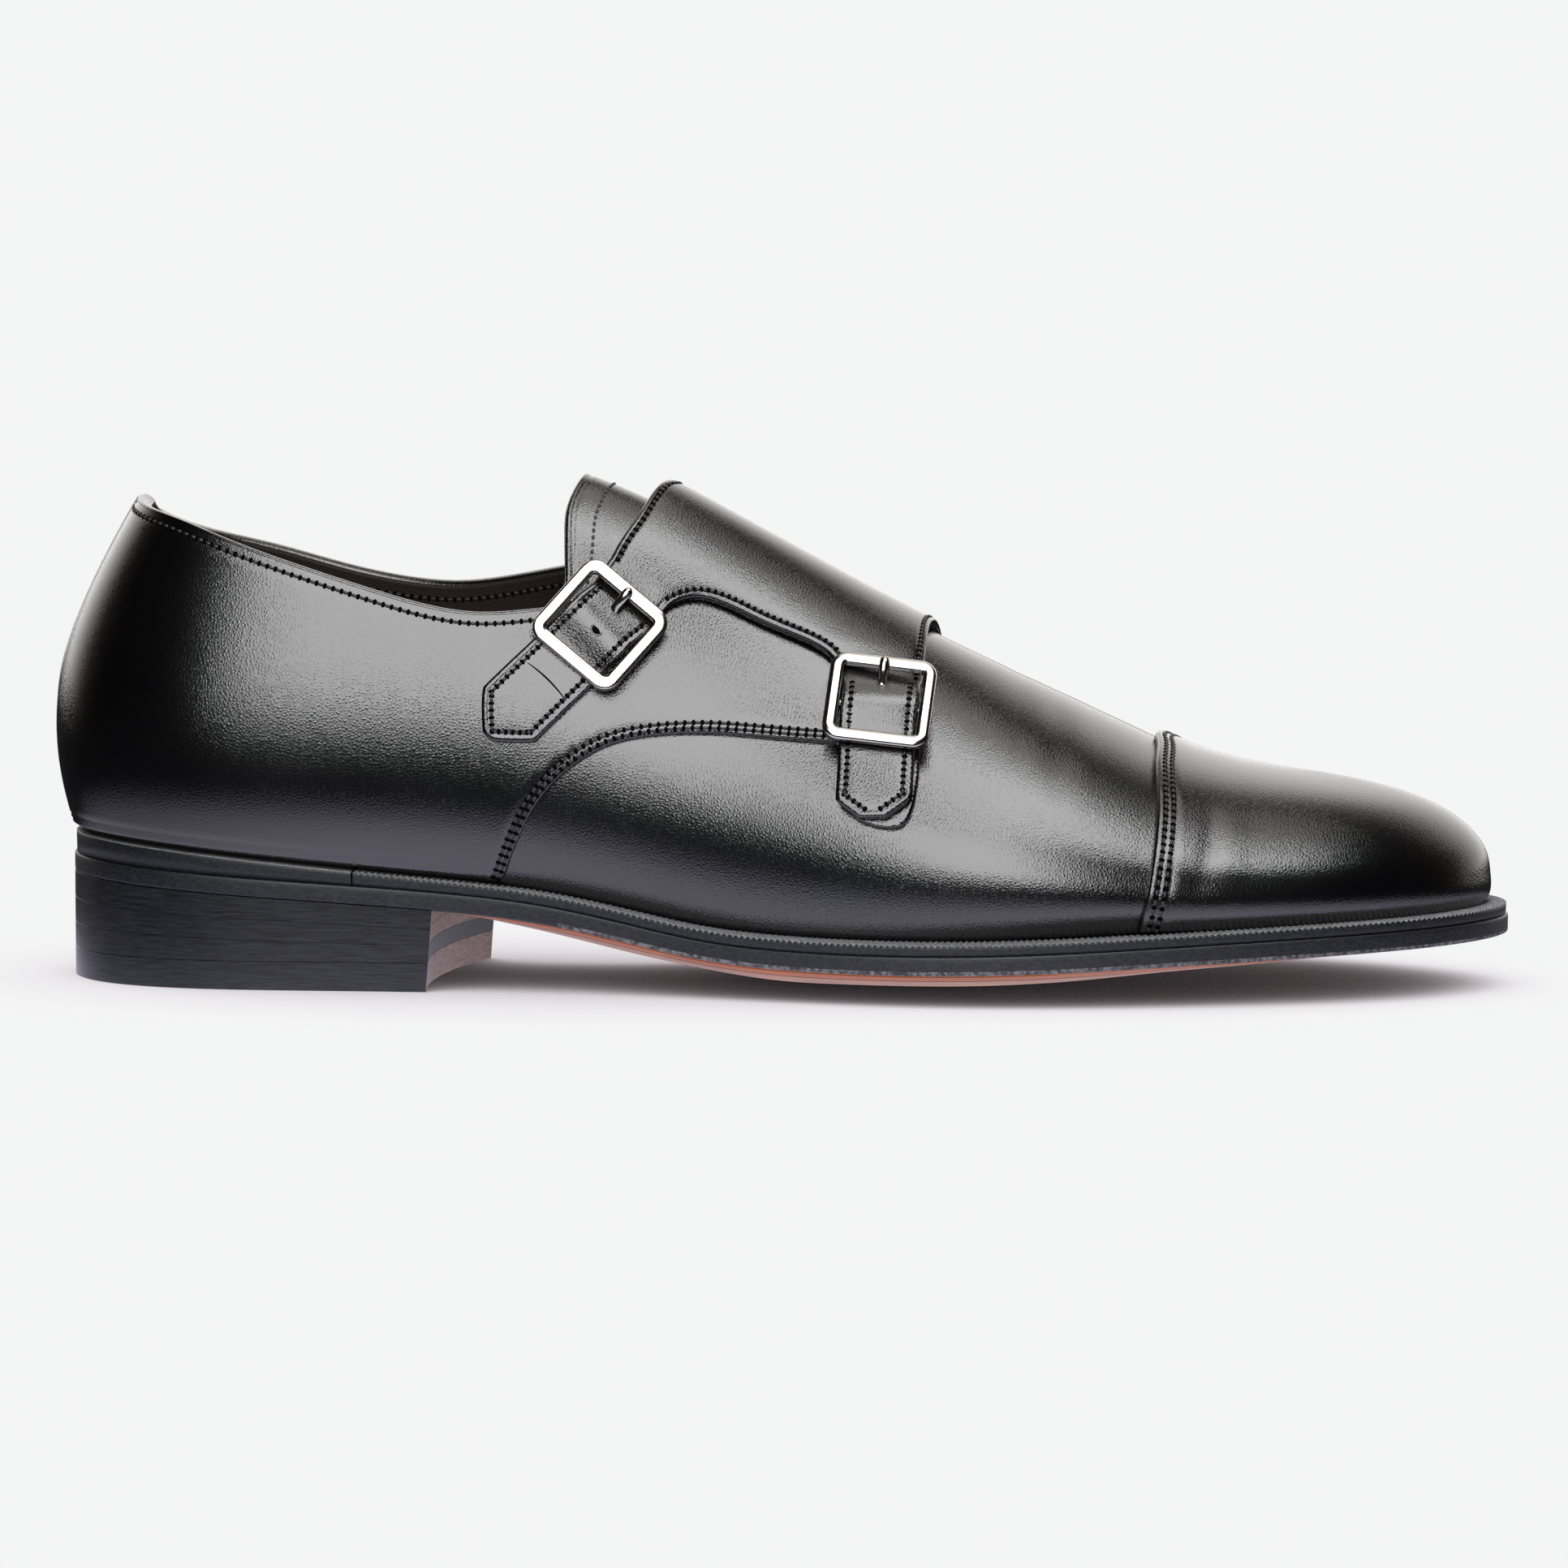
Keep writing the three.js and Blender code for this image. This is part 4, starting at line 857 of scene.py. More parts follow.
# Soft creases: place along the shoe on the ridge, bend toward the sole, middle round the shoe,
# reach round the shoe, half-width along the shoe and height, the last in millimetres
CREASES = [
    (0.694, -0.05, 0.74, 0.3, 0.0095, -0.1), (0.712, -0.045, 0.8, 0.3, 0.009, 0.05),
    (0.668, -0.055, 1.05, 0.4, 0.0095, -0.1), (0.722, -0.03, 1.3, 0.3, 0.009, -0.1),
    (0.79, -0.035, 0.42, 0.17, 0.0058, -0.22), (0.802, -0.03, 0.42, 0.2, 0.007, 0.1),
]


def creases(along, over):
    """Lift of the leather: for each crease a bell across its bent line and a bell along it."""
    lift = 0.0 * along
    for start, bend, middle, reach, width, height in CREASES:
        across = (along - start - bend * (over - 1) ** 2) / width
        lift = lift + height * np.exp(-across ** 2 - ((over - middle) / reach) ** 2)
    return lift


def wall(name, columns, rows, low, high, material, **options):
    """A closed shell round the shoe between two offsets: columns round it, rows from the feather
    line to the collar."""
    # the last column would be the first again, so it is left out
    s = np.linspace(0, 1, columns)[:-1]
    along = np.where(s < 0.5, 2 * s, 2 - 2 * s)
    top = np.where(s < 0.5, collar_outer(along), 2 - collar_inner(along))
    up = top[:, None] * np.linspace(0, 1, rows)[None]
    turn = np.where(s < 0.5, ROWS * along, ROUND - ROWS * along)[:, None] + 0 * up
    outer = (s < 0.5)[:, None]
    high = high + creases(along[:, None] + 0 * up, np.where(outer, up, 2 - up))
    outside, inside = spun(turn, up, high), spun(turn, up, low)
    index = numbers(len(s), rows)
    wrap = np.roll(index, -1, 0)
    face = np.stack([index[:, :-1], wrap[:, :-1], wrap[:, 1:], index[:, 1:]], -1).reshape(-1, 4)
    total = len(s) * rows
    head = np.stack([index[:, -1], wrap[:, -1], wrap[:, -1] + total, index[:, -1] + total], -1)
    tail = np.stack([wrap[:, 0], index[:, 0], index[:, 0] + total, wrap[:, 0] + total], -1)
    return piece(name, np.concatenate([outside.reshape(-1, 3), inside.reshape(-1, 3)]),
                 [np.concatenate([face, face[:, ::-1] + total, head, tail])], material, **options)


COLUMNS = int(420 * FINE)
VAMP_LOW, LINING_HIGH = -0.85, -1.1
wall("upper_leather", COLUMNS, int(72 * FINE), VAMP_LOW, 0.0, "calf", replaces=("upper",),
     slot="calf_leather")
wall("lining", COLUMNS, int(60 * FINE), -WALL, LINING_HIGH, "lining", slot="lining_leather")


def level_line(start, end, over, count):
    """Places from start to end along the shoe at one height."""
    return np.stack([np.linspace(start, end, count), np.full(count, over)], -1)


def collar_line(curve, start, end, inset=0.0, count=60):
    """Places from start to end along a collar, moved by an inset from it."""
    along = np.linspace(start, end, count)
    return np.stack([along, curve(along) - inset], -1)


HEEL_START, SEAM_START = 0.004, 0.3405
quarter_loop = np.vstack([
    level_line(HEEL_START, SEAM_START, FOOT, 90),
    smooth_path(SEAM_OUTER, count=60)[1:],
    [[0.5445, 0.45], [0.5475, 0.4], [0.549, 0.35], [0.5515, 0.312], [0.558, 0.299], [0.567, 0.294],
     [0.5765, 0.2965], [0.584, 0.309], [0.589, 0.34], [0.5925, 0.385], [0.5955, 0.46], [0.597, 0.55],
     [0.595, 0.62], [0.585, QUARTER_TOP]],
    level_line(0.575, 0.446, QUARTER_TOP, 20),
    collar_line(collar_outer, 0.442, HEEL_START),
])
panel("outer_quarter", quarter_loop, flat_at(QUARTER_LOW), flat_at(QUARTER_THICK), "calf",
      rim=SEAM_RIM, replaces=("outer_quarter",), slot="calf_leather")


def strap_outline(name, ends):
    """The two long sides of a strap as places, each to the middle of its tip; ends say how far from
    the root each side starts, in millimetres."""
    strap = STRAPS[name]
    share = np.linspace(0, 1, 161)
    reach = length_along(strap_frame(strap, share)[1])
    point, tip = (STRAP_POINT, STRAP_TIP) if name == "upper" else (BLUNT_POINT, BLUNT_TIP)
    body = reach[-1] - point
    at = np.concatenate([np.linspace(0, body, 40), body + point * np.linspace(0.08, 1, 10)])
    taper = np.clip((at - body) / point, 0, 1)
    half = STRAP_WIDTH / 2 + (tip / 2 - STRAP_WIDTH / 2) * taper ** 1.15
    place, _, _, across, _ = strap_frame(strap, np.interp(at, reach, share))
    left, right = moved(place, across * half[:, None]), moved(place, -across * half[:, None])
    return left[at >= ends[0]], right[at >= ends[1]]


upper_left, upper_right = strap_outline("upper", (12, 13))
lower_left, lower_right = strap_outline("lower", (9, 9))
flap_loop = np.vstack([
    level_line(HEEL_START, SEAM_START, 2 - FOOT, 90),
    smooth_path(SEAM_INNER, count=80)[1:],
    smooth_path(FLAP_FRONT, count=40)[1:],
    lower_left, lower_right[::-1],
    smooth_path(FLAP_LOWER, count=60),
    upper_left, upper_right[::-1],
    smooth_path(FLAP_REAR, count=60),
    collar_line(collar_inner, 0.405, HEEL_START),
])
panel("inner_quarter_and_flap", flap_loop, flap_inner, flap_thick, "calf",
      replaces=("inner_quarter_and_flap",), slot="calf_leather")


def weld(points, faces):
    """Points that share a place become one; faces that lose a side are dropped."""
    _, first, number = np.unique(np.round(points * 5000).astype(np.int64), axis=0,
                                 return_index=True, return_inverse=True)
    number = number.reshape(-1)
    merged = []
    for group in faces:
        group = number[group]
        keep = np.all(group != np.roll(group, 1, 1), axis=1)
        merged.append(group[keep])
        if group.shape[1] == 4:
            same = group == np.roll(group, 1, 1)
            for k in range(4):
                part = group[same[:, k] & (same.sum(1) == 1)]
                merged.append(np.delete(part, k, 1))
    return points[first], merged, first


def shell(name, outside, inside, material, uv=None, **options):
    """A closed solid between two grids of points (rows, columns, 3), rims on all four sides."""
    index = numbers(*outside.shape[:2])
    total = index.size
    face = np.stack([index[:-1, :-1], index[1:, :-1], index[1:, 1:], index[:-1, 1:]], -1).reshape(-1, 4)
    border = np.concatenate([index[0, :-1], index[:-1, -1], index[-1, :0:-1], index[:0:-1, 0]])
    points = np.concatenate([outside.reshape(-1, 3), inside.reshape(-1, 3)])
    faces = [face, face[:, ::-1] + total, between(border, border + total)]
    middle = face[len(face) // 2]
    normal = np.cross(points[middle[1]] - points[middle[0]], points[middle[3]] - points[middle[0]])
    if normal @ (points[middle[0]] - points[middle[0] + total]) < 0:
        faces = [f[:, ::-1] for f in faces]
    points, faces, kept = weld(points, faces)
    if uv is not None:
        uv = np.concatenate([uv.reshape(-1, 2)] * 2)[kept]
    return piece(name, points, faces, material, uv=uv, **options)


# Millimetres from the cap's edge back to the toe, and rows close to the edge
CAP_LENGTH = 75.0
CAP_ROWS = np.array([0, 0.2, 0.5, 1.2, 1.45, 1.7, 2.0, 2.4, 2.9, 3.3, 3.7])


def toe_cap():
    """The cap: lines round the girth, each a share of the way from the seam to the toe, with the
    upper face lowered by the rim's table and its inner face sunk to the vamp."""
    over = np.interp(np.linspace(0, 1, int(240 * FINE)), np.linspace(0, 1, 200),
                     smooth_path(CAP_EDGE, count=200)[:, 1])
    start = spline(CAP_EDGE[:, 1], CAP_EDGE[:, 0])(over)
    share = np.linspace(CAP_RIM[-1][0] / CAP_LENGTH, 1, int(90 * FINE))
    share = np.concatenate([CAP_ROWS / CAP_LENGTH, share])
    along = start[None] + (1 - start[None]) * share[:, None]
    along, over = np.broadcast_arrays(along, over[None])
    drop = rim_drop(share * CAP_LENGTH, CAP_RIM)[:, None]
    top = CAP_GAP + CAP * (1 - RIM_DEPTH * drop) + creases(along, over)
    turn, up = on_side(along, over)
    shell("toe_cap", spun(turn, up, top), spun(turn, up, CAP_GAP - 0.4), "calf",
          uv=np.stack([along, over], -1), replaces=("toe_cap",), slot="calf_leather")


# Height over the last of the pared sides of the back strip
STRIP_SIDE = OVERLAY + 0.42


def back_strip():
    """The strip over the back seam, its sides and foot pared down to the quarters' level."""
    columns = 41
    q = np.linspace(0, 1, int(90 * FINE))[:, None]
    up = STRIP_FOOT + (COLLAR_OUTER[0, 1] - 0.006 - STRIP_FOOT) * q + np.zeros(columns)
    side = np.linspace(-1, 1, columns)
    turn = side[None] * STRIP_HALF * ROWS * (0.92 + 0.12 * q)
    from_side = (1 - np.abs(side)) * STRIP_HALF * SOLE_LENGTH * 1.2
    proud = smoothstep(from_side, 0, 4)[None] * smoothstep(q, 0, 0.3)
    high = STRIP_SIDE + (CURVED_GAP + STRIP - STRIP_SIDE) * proud - 0.3 * rim_drop(from_side)[None]
    shell("back_strip", spun(turn, up, high), spun(turn, up, CURVED_GAP - 0.2), "calf",
          replaces=("back_strip",), slot="calf_leather")


toe_cap()
back_strip()
TONGUE_LOOP = smooth_path([
    [0.3735, 0.53], [0.3755, 0.6], [0.377, 0.657], [0.377, 0.73], [0.378, 0.803], [0.382, 0.867],
    [0.387, 0.94], [0.389, 1.0], [0.387, 1.08], [0.38, 1.2], [0.376, 1.35], [0.373, 1.46],
    [0.4, 1.5], [0.44, 1.49], [0.5, 1.44], [0.55, 1.39], [0.559, 1.3], [0.562, 1.15], [0.565, 1],
    [0.562, 0.85], [0.555, 0.7], [0.548, 0.61], [0.5, 0.53], [0.44, 0.5], [0.39, 0.515],
], spacing=0.004, closed=True)
TONGUE_LOW = -WALL - TONGUE_GAP - TONGUE
panel("tongue", TONGUE_LOOP, flat_at(TONGUE_LOW), flat_at(TONGUE), "calf", replaces=("tongue",),
      slot="calf_leather")


# Sole

def sole_ring(name, rows, material, closed=True, mats=None, flip=False, **options):
    """A solid of rows that follow the outline, the last row joined to the first: each row a closed
    ring, or an open line with flat ends. Mats gives each row its material's number."""
    grid = np.stack(rows)
    index = numbers(*grid.shape[:2])
    after = np.roll(index, -1, 0)
    steps = index.shape[1] - (0 if closed else 1)
    face = between(index, after).reshape(*index.shape, 4)[:, :steps]
    faces = [face.reshape(-1, 4)]
    picks = None
    if mats is not None:
        picks = np.broadcast_to(np.asarray(mats).reshape(len(mats), -1), face.shape[:2]).reshape(-1)
    if not closed:
        faces += [index[:, 0][None, ::-1], index[:, -1][None]]
        picks = np.concatenate([picks, [0, 0]])
    if flip:
        faces = [f[:, ::-1] for f in faces]
    return piece(name, grid.reshape(-1, 3), faces, material, mats=picks, **options)


def edge_row(turn, inward, height):
    """A line at a distance inside the tread's edge, at a height that is a function of x and of the
    share of the reach from the spine."""
    point, _, out = plan_at(turn, inward)
    return np.concatenate([point, height(point[:, 0], out)[:, None]], 1)


def under_row(turn, share, lift=0.0):
    """A ring at a share of the reach from the spine, at a height over the underside."""
    edge, middle, _ = plan_at(turn, 0.0)
    point = middle + (edge - middle) * share
    return np.concatenate([point, (tread(point[:, 0], share) + lift)[:, None]], 1)


TURNS = np.linspace(0, ROUND, int(560 * FINE), endpoint=False)
# The sewing channel's share of the reach and its depth, and where the worn edge begins
CHANNEL = 0.83
CHANNEL_DEPTH = 0.5
WORN_FROM = 105.0


def outsole():
    """The sole: under side with its channel, a square edge, worn pale along the bottom of the
    fore part only."""
    edge, sole, tread_worn, channel, worn = range(5)
    lip = 0.008
    shares = np.concatenate([np.linspace(0, CHANNEL - 0.02, 16), [CHANNEL - lip, CHANNEL, CHANNEL + lip],
                             np.linspace(CHANNEL + 0.03, 0.975, 5)])
    rows = [under_row(TURNS, share, CHANNEL_DEPTH * (share == CHANNEL)) for share in shares]
    mats = [tread_worn] * 16 + [channel] * 2 + [sole] * 6
    # distance inside the edge, height over the underside and material of each row
    side = [(1.4, 0.0, sole), (0.5, 0.02, worn), (0.16, 0.14, worn), (0.03, 0.4, worn),
            (0.0, 0.8, edge), (0.0, 1.6, edge), (0.0, 2.6, edge), (0.0, 3.4, edge),
            (0.06, 3.62, edge), (0.2, OUTSOLE, edge), (2.0, OUTSOLE, edge)]
    for inward, height, mat in side:
        rows.append(edge_row(TURNS, inward, lambda x, out, h=height: tread(x, out) + h))
        mats.append(mat)
    for share in (0.7, 0.4, 0.0):
        rows.append(under_row(TURNS, share, OUTSOLE))
        mats.append(edge)
    fore = plan_at(TURNS, 0.0)[0][:, 0] > WORN_FROM
    mats = np.where((np.array(mats)[:, None] == worn) & ~fore, edge, np.array(mats)[:, None])
    sole_ring("outsole", rows, ["edge", "sole", "sole_worn", "channel", "worn"], mats=mats,
              replaces=("outsole",), slot="sole_leather", flip=True)


outsole()

# Turn at which welt and rand meet, with a small gap, then the ribs' pitch and depth
JOINT = 3.08
JOINT_GAP = 0.01
RIB = 1.3
RIB_DEPTH = 0.45
# The strip's rows: share of the way inward, and height over the welt's top, or none for its foot
STRIP_ROWS = [(1, 0), (0.5, 0), (0.3, -0.02), (0.16, -0.06), (0.04, -0.13), (0, -0.3), (0, -0.9),
              (0, -1.6), (0.02, None), (0.3, None), (1, None)]


def welt_turns(start, end):
    """Turns at even steps along the edge, fine enough for the ribs."""
    coarse = np.linspace(start, end, 3000)
    point, _, _ = plan_at(coarse, 0.0)
    reach = length_along(point)
    count = int(reach[-1] / RIB * (6 if FINE == 1 else 4))
    at = np.linspace(0, reach[-1], count)
    return np.interp(at, reach, coarse), at


def edge_strip(name, start, end, depth):
    """The strip between sole and upper, its top ribbed by the root of a wave along the edge."""
    turn, reach = welt_turns(start, end)
    inner = feather(turn) + WALL + GAP
    wave = 0.5 - 0.5 * np.cos(2 * np.pi * reach / RIB)
    rib = depth * (np.sqrt(wave) - 0.5) * smoothstep(feather(turn), 1.6, 3.0)
    rows = []
    for q, height in STRIP_ROWS:
        def strip_height(x, out, q=q, height=height):
            if height is None:
                return tread(x, out) + OUTSOLE + 0.06
            ribbed = 1 if q < 0.9 and height > -0.4 else 0.55 * (height > -1)
            return edge_lift(x) + pack(x) + height + ribbed * rib
        rows.append(edge_row(turn, WELT_SETBACK + (inner - WELT_SETBACK) * q, strip_height))
    # the five top rows take the welt's top colour, whose grey is painted light from above
    sole_ring(name, rows, ["edge", "welt_top_painted_light"], closed=False, mats=[1] * 5 + [0] * 6,
              replaces=(name,), slot="edge_leather")


edge_strip("welt", JOINT + JOINT_GAP, ROUND - JOINT - JOINT_GAP, RIB_DEPTH)
edge_strip("heel_rand", -JOINT, JOINT, 0.0)


def insole():
    """The insole: rings at shares of its reach, at shares of the height from its lower face to its
    crowned top."""
    turn = TURNS[::2]
    rim, middle, out = plan_at(turn, feather(turn) + WALL + 2 * GAP)
    rows = []
    for share, top in [(0, 1), (0.3, 1), (0.6, 1), (0.85, 1), (0.97, 1), (1, 0.85), (1, 0.4), (1, 0),
                       (0.6, 0), (0, 0)]:
        point = middle + (rim - middle) * share
        x = point[:, 0]
        low = tread(x, out * share) + OUTSOLE + CURVED_GAP
        high = tread(x, out * share) + pack(x) + INSOLE_CROWN
        rows.append(np.concatenate([point, (low + (high - low) * top)[:, None]], 1))
    sole_ring("insole", rows, "sock", replaces=("insole",), slot="lining_leather")


insole()


# Heel

def breast_x(y):
    """Front of the heel at the ground: a hollow curve between its outer and inner ends."""
    reach = HEEL_BREADTH / 2
    t = np.clip((y / reach + 1) / 2, 0, 1)
    middle = (BREAST_OUTER + BREAST_INNER) / 2 - BREAST_HOLLOW
    handle = 2 * middle - (BREAST_OUTER + BREAST_INNER) / 2
    return BREAST_OUTER * (1 - t) ** 2 + 2 * handle * t * (1 - t) + BREAST_INNER * t * t


LEAN = BREAST_LEAN / HEEL_HEIGHT
SIDE_COUNT, BREAST_COUNT = int(260 * FINE), 60
# A turn past the breast on either side
HEEL_TURN = 4.2


def heel_ring(level, inset, lift):
    """The heel's outline at a level that is a function of x, moved inward and up: the tread's edge as
    far as the leaning breast, then across along the breast."""
    turn = np.linspace(-HEEL_TURN, HEEL_TURN, 1600)
    point, _, _ = plan_at(turn, inset + 0 * turn)
    z = level(point[:, 0]) + lift
    ahead = point[:, 0] - breast_x(point[:, 1]) - LEAN * z + inset
    middle = len(turn) // 2
    inner = np.interp(0, ahead[middle:], turn[middle:])
    outer = np.interp(0, ahead[:middle][::-1], turn[:middle][::-1])
    along = np.linspace(outer, inner, SIDE_COUNT)
    side, _, _ = plan_at(along, inset + 0 * along)
    y = np.linspace(side[-1, 1], side[0, 1], BREAST_COUNT + 2)[1:-1]
    x = breast_x(y) - inset
    front = x + LEAN * (level(x) + lift)
    ring = np.concatenate([side, np.stack([front, y], -1)])
    return np.concatenate([ring, (level(ring[:, 0]) + lift)[:, None]], 1)


def heel_layer(name, low, high, breast, slot, rounding=0.05):
    """One layer of the heel between two levels, its long edges rounded, with its own breast."""
    grid = np.stack([heel_ring(low, rounding, 0.0), heel_ring(low, 0.0, rounding),
                     heel_ring(high, 0.0, -rounding), heel_ring(high, rounding, 0.0)])
    index = numbers(*grid.shape[:2])
    on_breast = np.arange(index.shape[1]) >= SIDE_COUNT - 1
    picks = np.concatenate([np.tile(on_breast, len(index) - 1), [0, 0]])
    faces = [between(index[:-1], index[1:]), index[0][None, ::-1], index[-1][None]]
    made = piece(name, grid.reshape(-1, 3), faces, ["heel_side", breast], mats=picks,
                 replaces=(name,), slot=slot)
    made.data.set_sharp_from_angle(angle=np.radians(40))


def lift_level(k, gap=0.0):
    """The foot of lift k, less a gap: straight from the back to the breast, in even shares."""
    share = (k - 1) / HEEL_LIFTS
    rear, fore = [TOP_PIECE + (edge_lift(x) - GAP - TOP_PIECE) * share for x in (0.0, BREAST_OUTER)]
    return lambda x: rear + (fore - rear) * np.asarray(x) / BREAST_OUTER - gap


SEAM_GAP = 0.03
heel_layer("heel_top_piece", lambda x: 0.0 * x, lambda x: TOP_PIECE - SEAM_GAP + 0.0 * x,
           "stack", "heel_rubber", rounding=0.12)
heel_layer("heel_lift_1", lift_level(1), lift_level(2, SEAM_GAP), "rubber", "heel_leather")
heel_layer("heel_lift_2", lift_level(2), lift_level(3, SEAM_GAP), "stack", "heel_leather")
heel_layer("heel_lift_3", lift_level(3), lambda x: edge_lift(x) - 0.04, "stack", "heel_leather")


# Buckles

def in_buckle(name, points):
    """Points given forward, across and outward of a buckle, whose frame sits turned to its strap."""
    origin, forward, across, normal = BUCKLES[name]
    turn = np.radians(STRAPS[name]["turned"])
    ahead = forward * np.cos(turn) + across * np.sin(turn)
    return origin + points @ np.stack([ahead, np.cross(normal, ahead), normal])


def rounded_rectangle(along, across, radius):
    """A closed ring in the plane: four quarter circles, and straight sides in short steps."""
    a, c = along / 2 - radius, across / 2 - radius
    quarter = np.linspace(0, np.pi / 2, 14)
    corners = []
    for k, (ca, cc) in enumerate([(a, c), (-a, c), (-a, -c), (a, -c)]):
        angle = quarter + k * np.pi / 2
        corners.append(np.stack([ca + radius * np.cos(angle), cc + radius * np.sin(angle)], -1))
    share = np.linspace(0, 1, 10, endpoint=False)[:, None]
    parts = []
    for corner, after in zip(corners, corners[1:] + corners[:1]):
        parts += [corner[:-1], corner[-1] + (after[0] - corner[-1]) * share]
    return np.concatenate(parts)


def circle(sides):
    """Cosines and sines of even angles, each as a column."""
    angle = np.linspace(0, 2 * np.pi, sides, endpoint=False)[:, None]
    return np.cos(angle), np.sin(angle)


def tube(path, radii, sides=14, squash=1.0, up=(0, 0, 1)):
    """Points and faces of a round or oval rod carried along a line of points, closed at its ends."""
    path = np.asarray(path, float)
    ahead = unit(np.gradient(path, axis=0))
    side = unit(np.cross(ahead, np.asarray(up, float) + 0 * ahead))
    rise = np.cross(side, ahead)
    radii = np.broadcast_to(np.asarray(radii, float), (len(path),))[:, None, None]
    cos, sin = circle(sides)
    points = path[:, None] + (side[:, None] * cos + rise[:, None] * sin * squash) * radii
    index = numbers(len(path), sides)
    faces = [between(index[:-1], index[1:])[:, ::-1], index[0][None], index[-1][None, ::-1]]
    return points.reshape(-1, 3), faces


def merged(parts):
    """Points and faces of several parts as one."""
    points, groups, shift = [], [], 0
    for part, faces in parts:
        points.append(part)
        groups += [f + shift for f in faces]
        shift += len(part)
    return np.concatenate(points), groups


def buckle_ring(power, middle, sides=20):
    """The frame: a rounded bar, flat on its faces by a power, carried round the rectangle."""
    centre = rounded_rectangle(FRAME_ALONG - FRAME_BAR, FRAME_ACROSS - FRAME_BAR,
                               FRAME_CORNER - FRAME_BAR / 2)
    ahead = unit(np.roll(centre, -1, 0) - np.roll(centre, 1, 0))
    outward = np.stack([ahead[:, 1], -ahead[:, 0]], -1)
    angle = np.linspace(0, 2 * np.pi, sides, endpoint=False) + 0.08
    cos, sin = np.cos(angle), np.sin(angle)
    out = np.sign(cos) * np.abs(cos) ** (2 / power) * FRAME_BAR / 2
    rise = np.sign(sin) * np.abs(sin) ** (2 / power) * FRAME_THICKNESS / 2
    plan = centre[:, None] + outward[:, None] * out[None, :, None]
    z = middle + rise[None] + 0 * plan[..., 0]
    points = np.concatenate([plan, z[..., None]], -1)
    index = numbers(len(points), sides)
    after = np.roll(index, -1, 0)
    face = np.stack([index, after, np.roll(after, -1, 1), np.roll(index, -1, 1)], -1).reshape(-1, 4)
    return points.reshape(-1, 3), [face]


def buckle_piece(name, part, points, faces):
    """A part of a buckle in bright metal, set in its place over the strap."""
    return piece(f"{name}_buckle_{part}", in_buckle(name, points), faces, "nickel",
                 replaces=(f"{name}_buckle_{part}",), slot="buckle_metal")


def buckle(name, power):
    """A frame with its centre bar on two posts, and a prong from the bar over the frame's far side."""
    middle = FRAME_HEIGHT + FRAME_THICKNESS / 2
    side = (FRAME_ACROSS - FRAME_BAR) / 2
    bar = np.stack([np.zeros(12), np.linspace(-side, side, 12), np.full(12, BAR_HEIGHT)], -1)
    parts = [buckle_ring(power, middle), tube(bar, CENTRE_BAR / 2)]
    for y in (-side, side):
        post = np.stack([np.zeros(6), np.full(6, y), np.linspace(BAR_HEIGHT - 0.3, middle, 6)], -1)
        parts.append(tube(post, CENTRE_BAR / 2, up=(1, 0, 0)))
    buckle_piece(name, "frame", *merged(parts)).data.set_sharp_from_angle(angle=1.0)
    top = middle + FRAME_THICKNESS / 2
    path = smooth_path([
        [0.6, 0, BAR_HEIGHT + 1.3], [-1.5, 0, BAR_HEIGHT + 1.5], [-4.2, 0, 4.2], [-6.2, 0, 5.9],
        [-8.0, 0, top + 0.75], [-FRAME_ALONG / 2 + 0.9, 0, top + 0.72],
    ], count=40)
    radius = np.full(40, PRONG_RADIUS)
    radius[-len(PRONG_POINT):] = PRONG_POINT
    buckle_piece(name, "prong", *tube(path, radius, squash=0.8))


def chape(name):
    """The leather loop over the bar, under the strap: a strip with a round hump."""
    a, across = np.linspace(-5.5, 5.5, 60), np.linspace(-4.5, 4.5, 10)
    hump = CENTRE_BAR / 2 + GAP
    base = SEAT + 0.1
    over_bar = (BAR_HEIGHT - base) * smoothstep(hump + 0.8 - np.abs(a), 0, 0.8)
    rise = np.sqrt(np.maximum(hump ** 2 - a ** 2, 0)) + over_bar
    faces = []
    for high in (CHAPE, 0.0):
        height = (base + rise * 0.9 + high)[:, None]
        grid = np.stack(np.broadcast_arrays(a[:, None], across[None], height), -1)
        faces.append(in_buckle(name, grid.reshape(-1, 3)).reshape(grid.shape))
    shell(f"{name}_buckle_chape", *faces, "calf", replaces=(f"{name}_buckle_chape",),
          slot="calf_leather")


def on_strap(name, forward, across):
    """Points on a strap's top by lengths from its buckle's middle along the strap's own axes, with
    the normals there and the strap's forward axis."""
    _, ahead, beside_it, _ = BUCKLES[name]
    forward, across = np.broadcast_arrays(np.atleast_1d(forward), across)
    goal = ahead * forward[:, None] + beside_it * across[:, None]
    along, over = moved(np.array([STRAPS[name]["buckle"]]), goal).T
    return leather(along, over, flap_top(along, over)), normal_at(along, over), ahead


def punched_hole(name, forward, across, radius):
    """A punched hole seen from outside: a dimple with a low raised lip, its middle painted dark as the
    shade in the hole.
    """
    (middle,), (normal,), ahead = on_strap(name, forward, across)
    # radius and height of each ring, from the lip's foot to the middle
    rings = [(radius * 1.28, -0.05), (radius * 1.12, 0.05), (radius, 0.03), (radius * 0.9, -0.02),
             (0.001, 0.025)]
    cos, sin = circle(24)
    round_it = cos * ahead + sin * np.cross(normal, ahead)
    grid = np.stack([middle + reach * round_it + normal * height for reach, height in rings])
    index = numbers(*grid.shape[:2])
    # the two inner rings are painted shade inside the hole
    piece(f"{name}_spare_hole", grid.reshape(-1, 3), [between(index[:-1], index[1:])],
          ["calf", "hole"], mats=np.repeat([0, 0, 1, 1], 24))


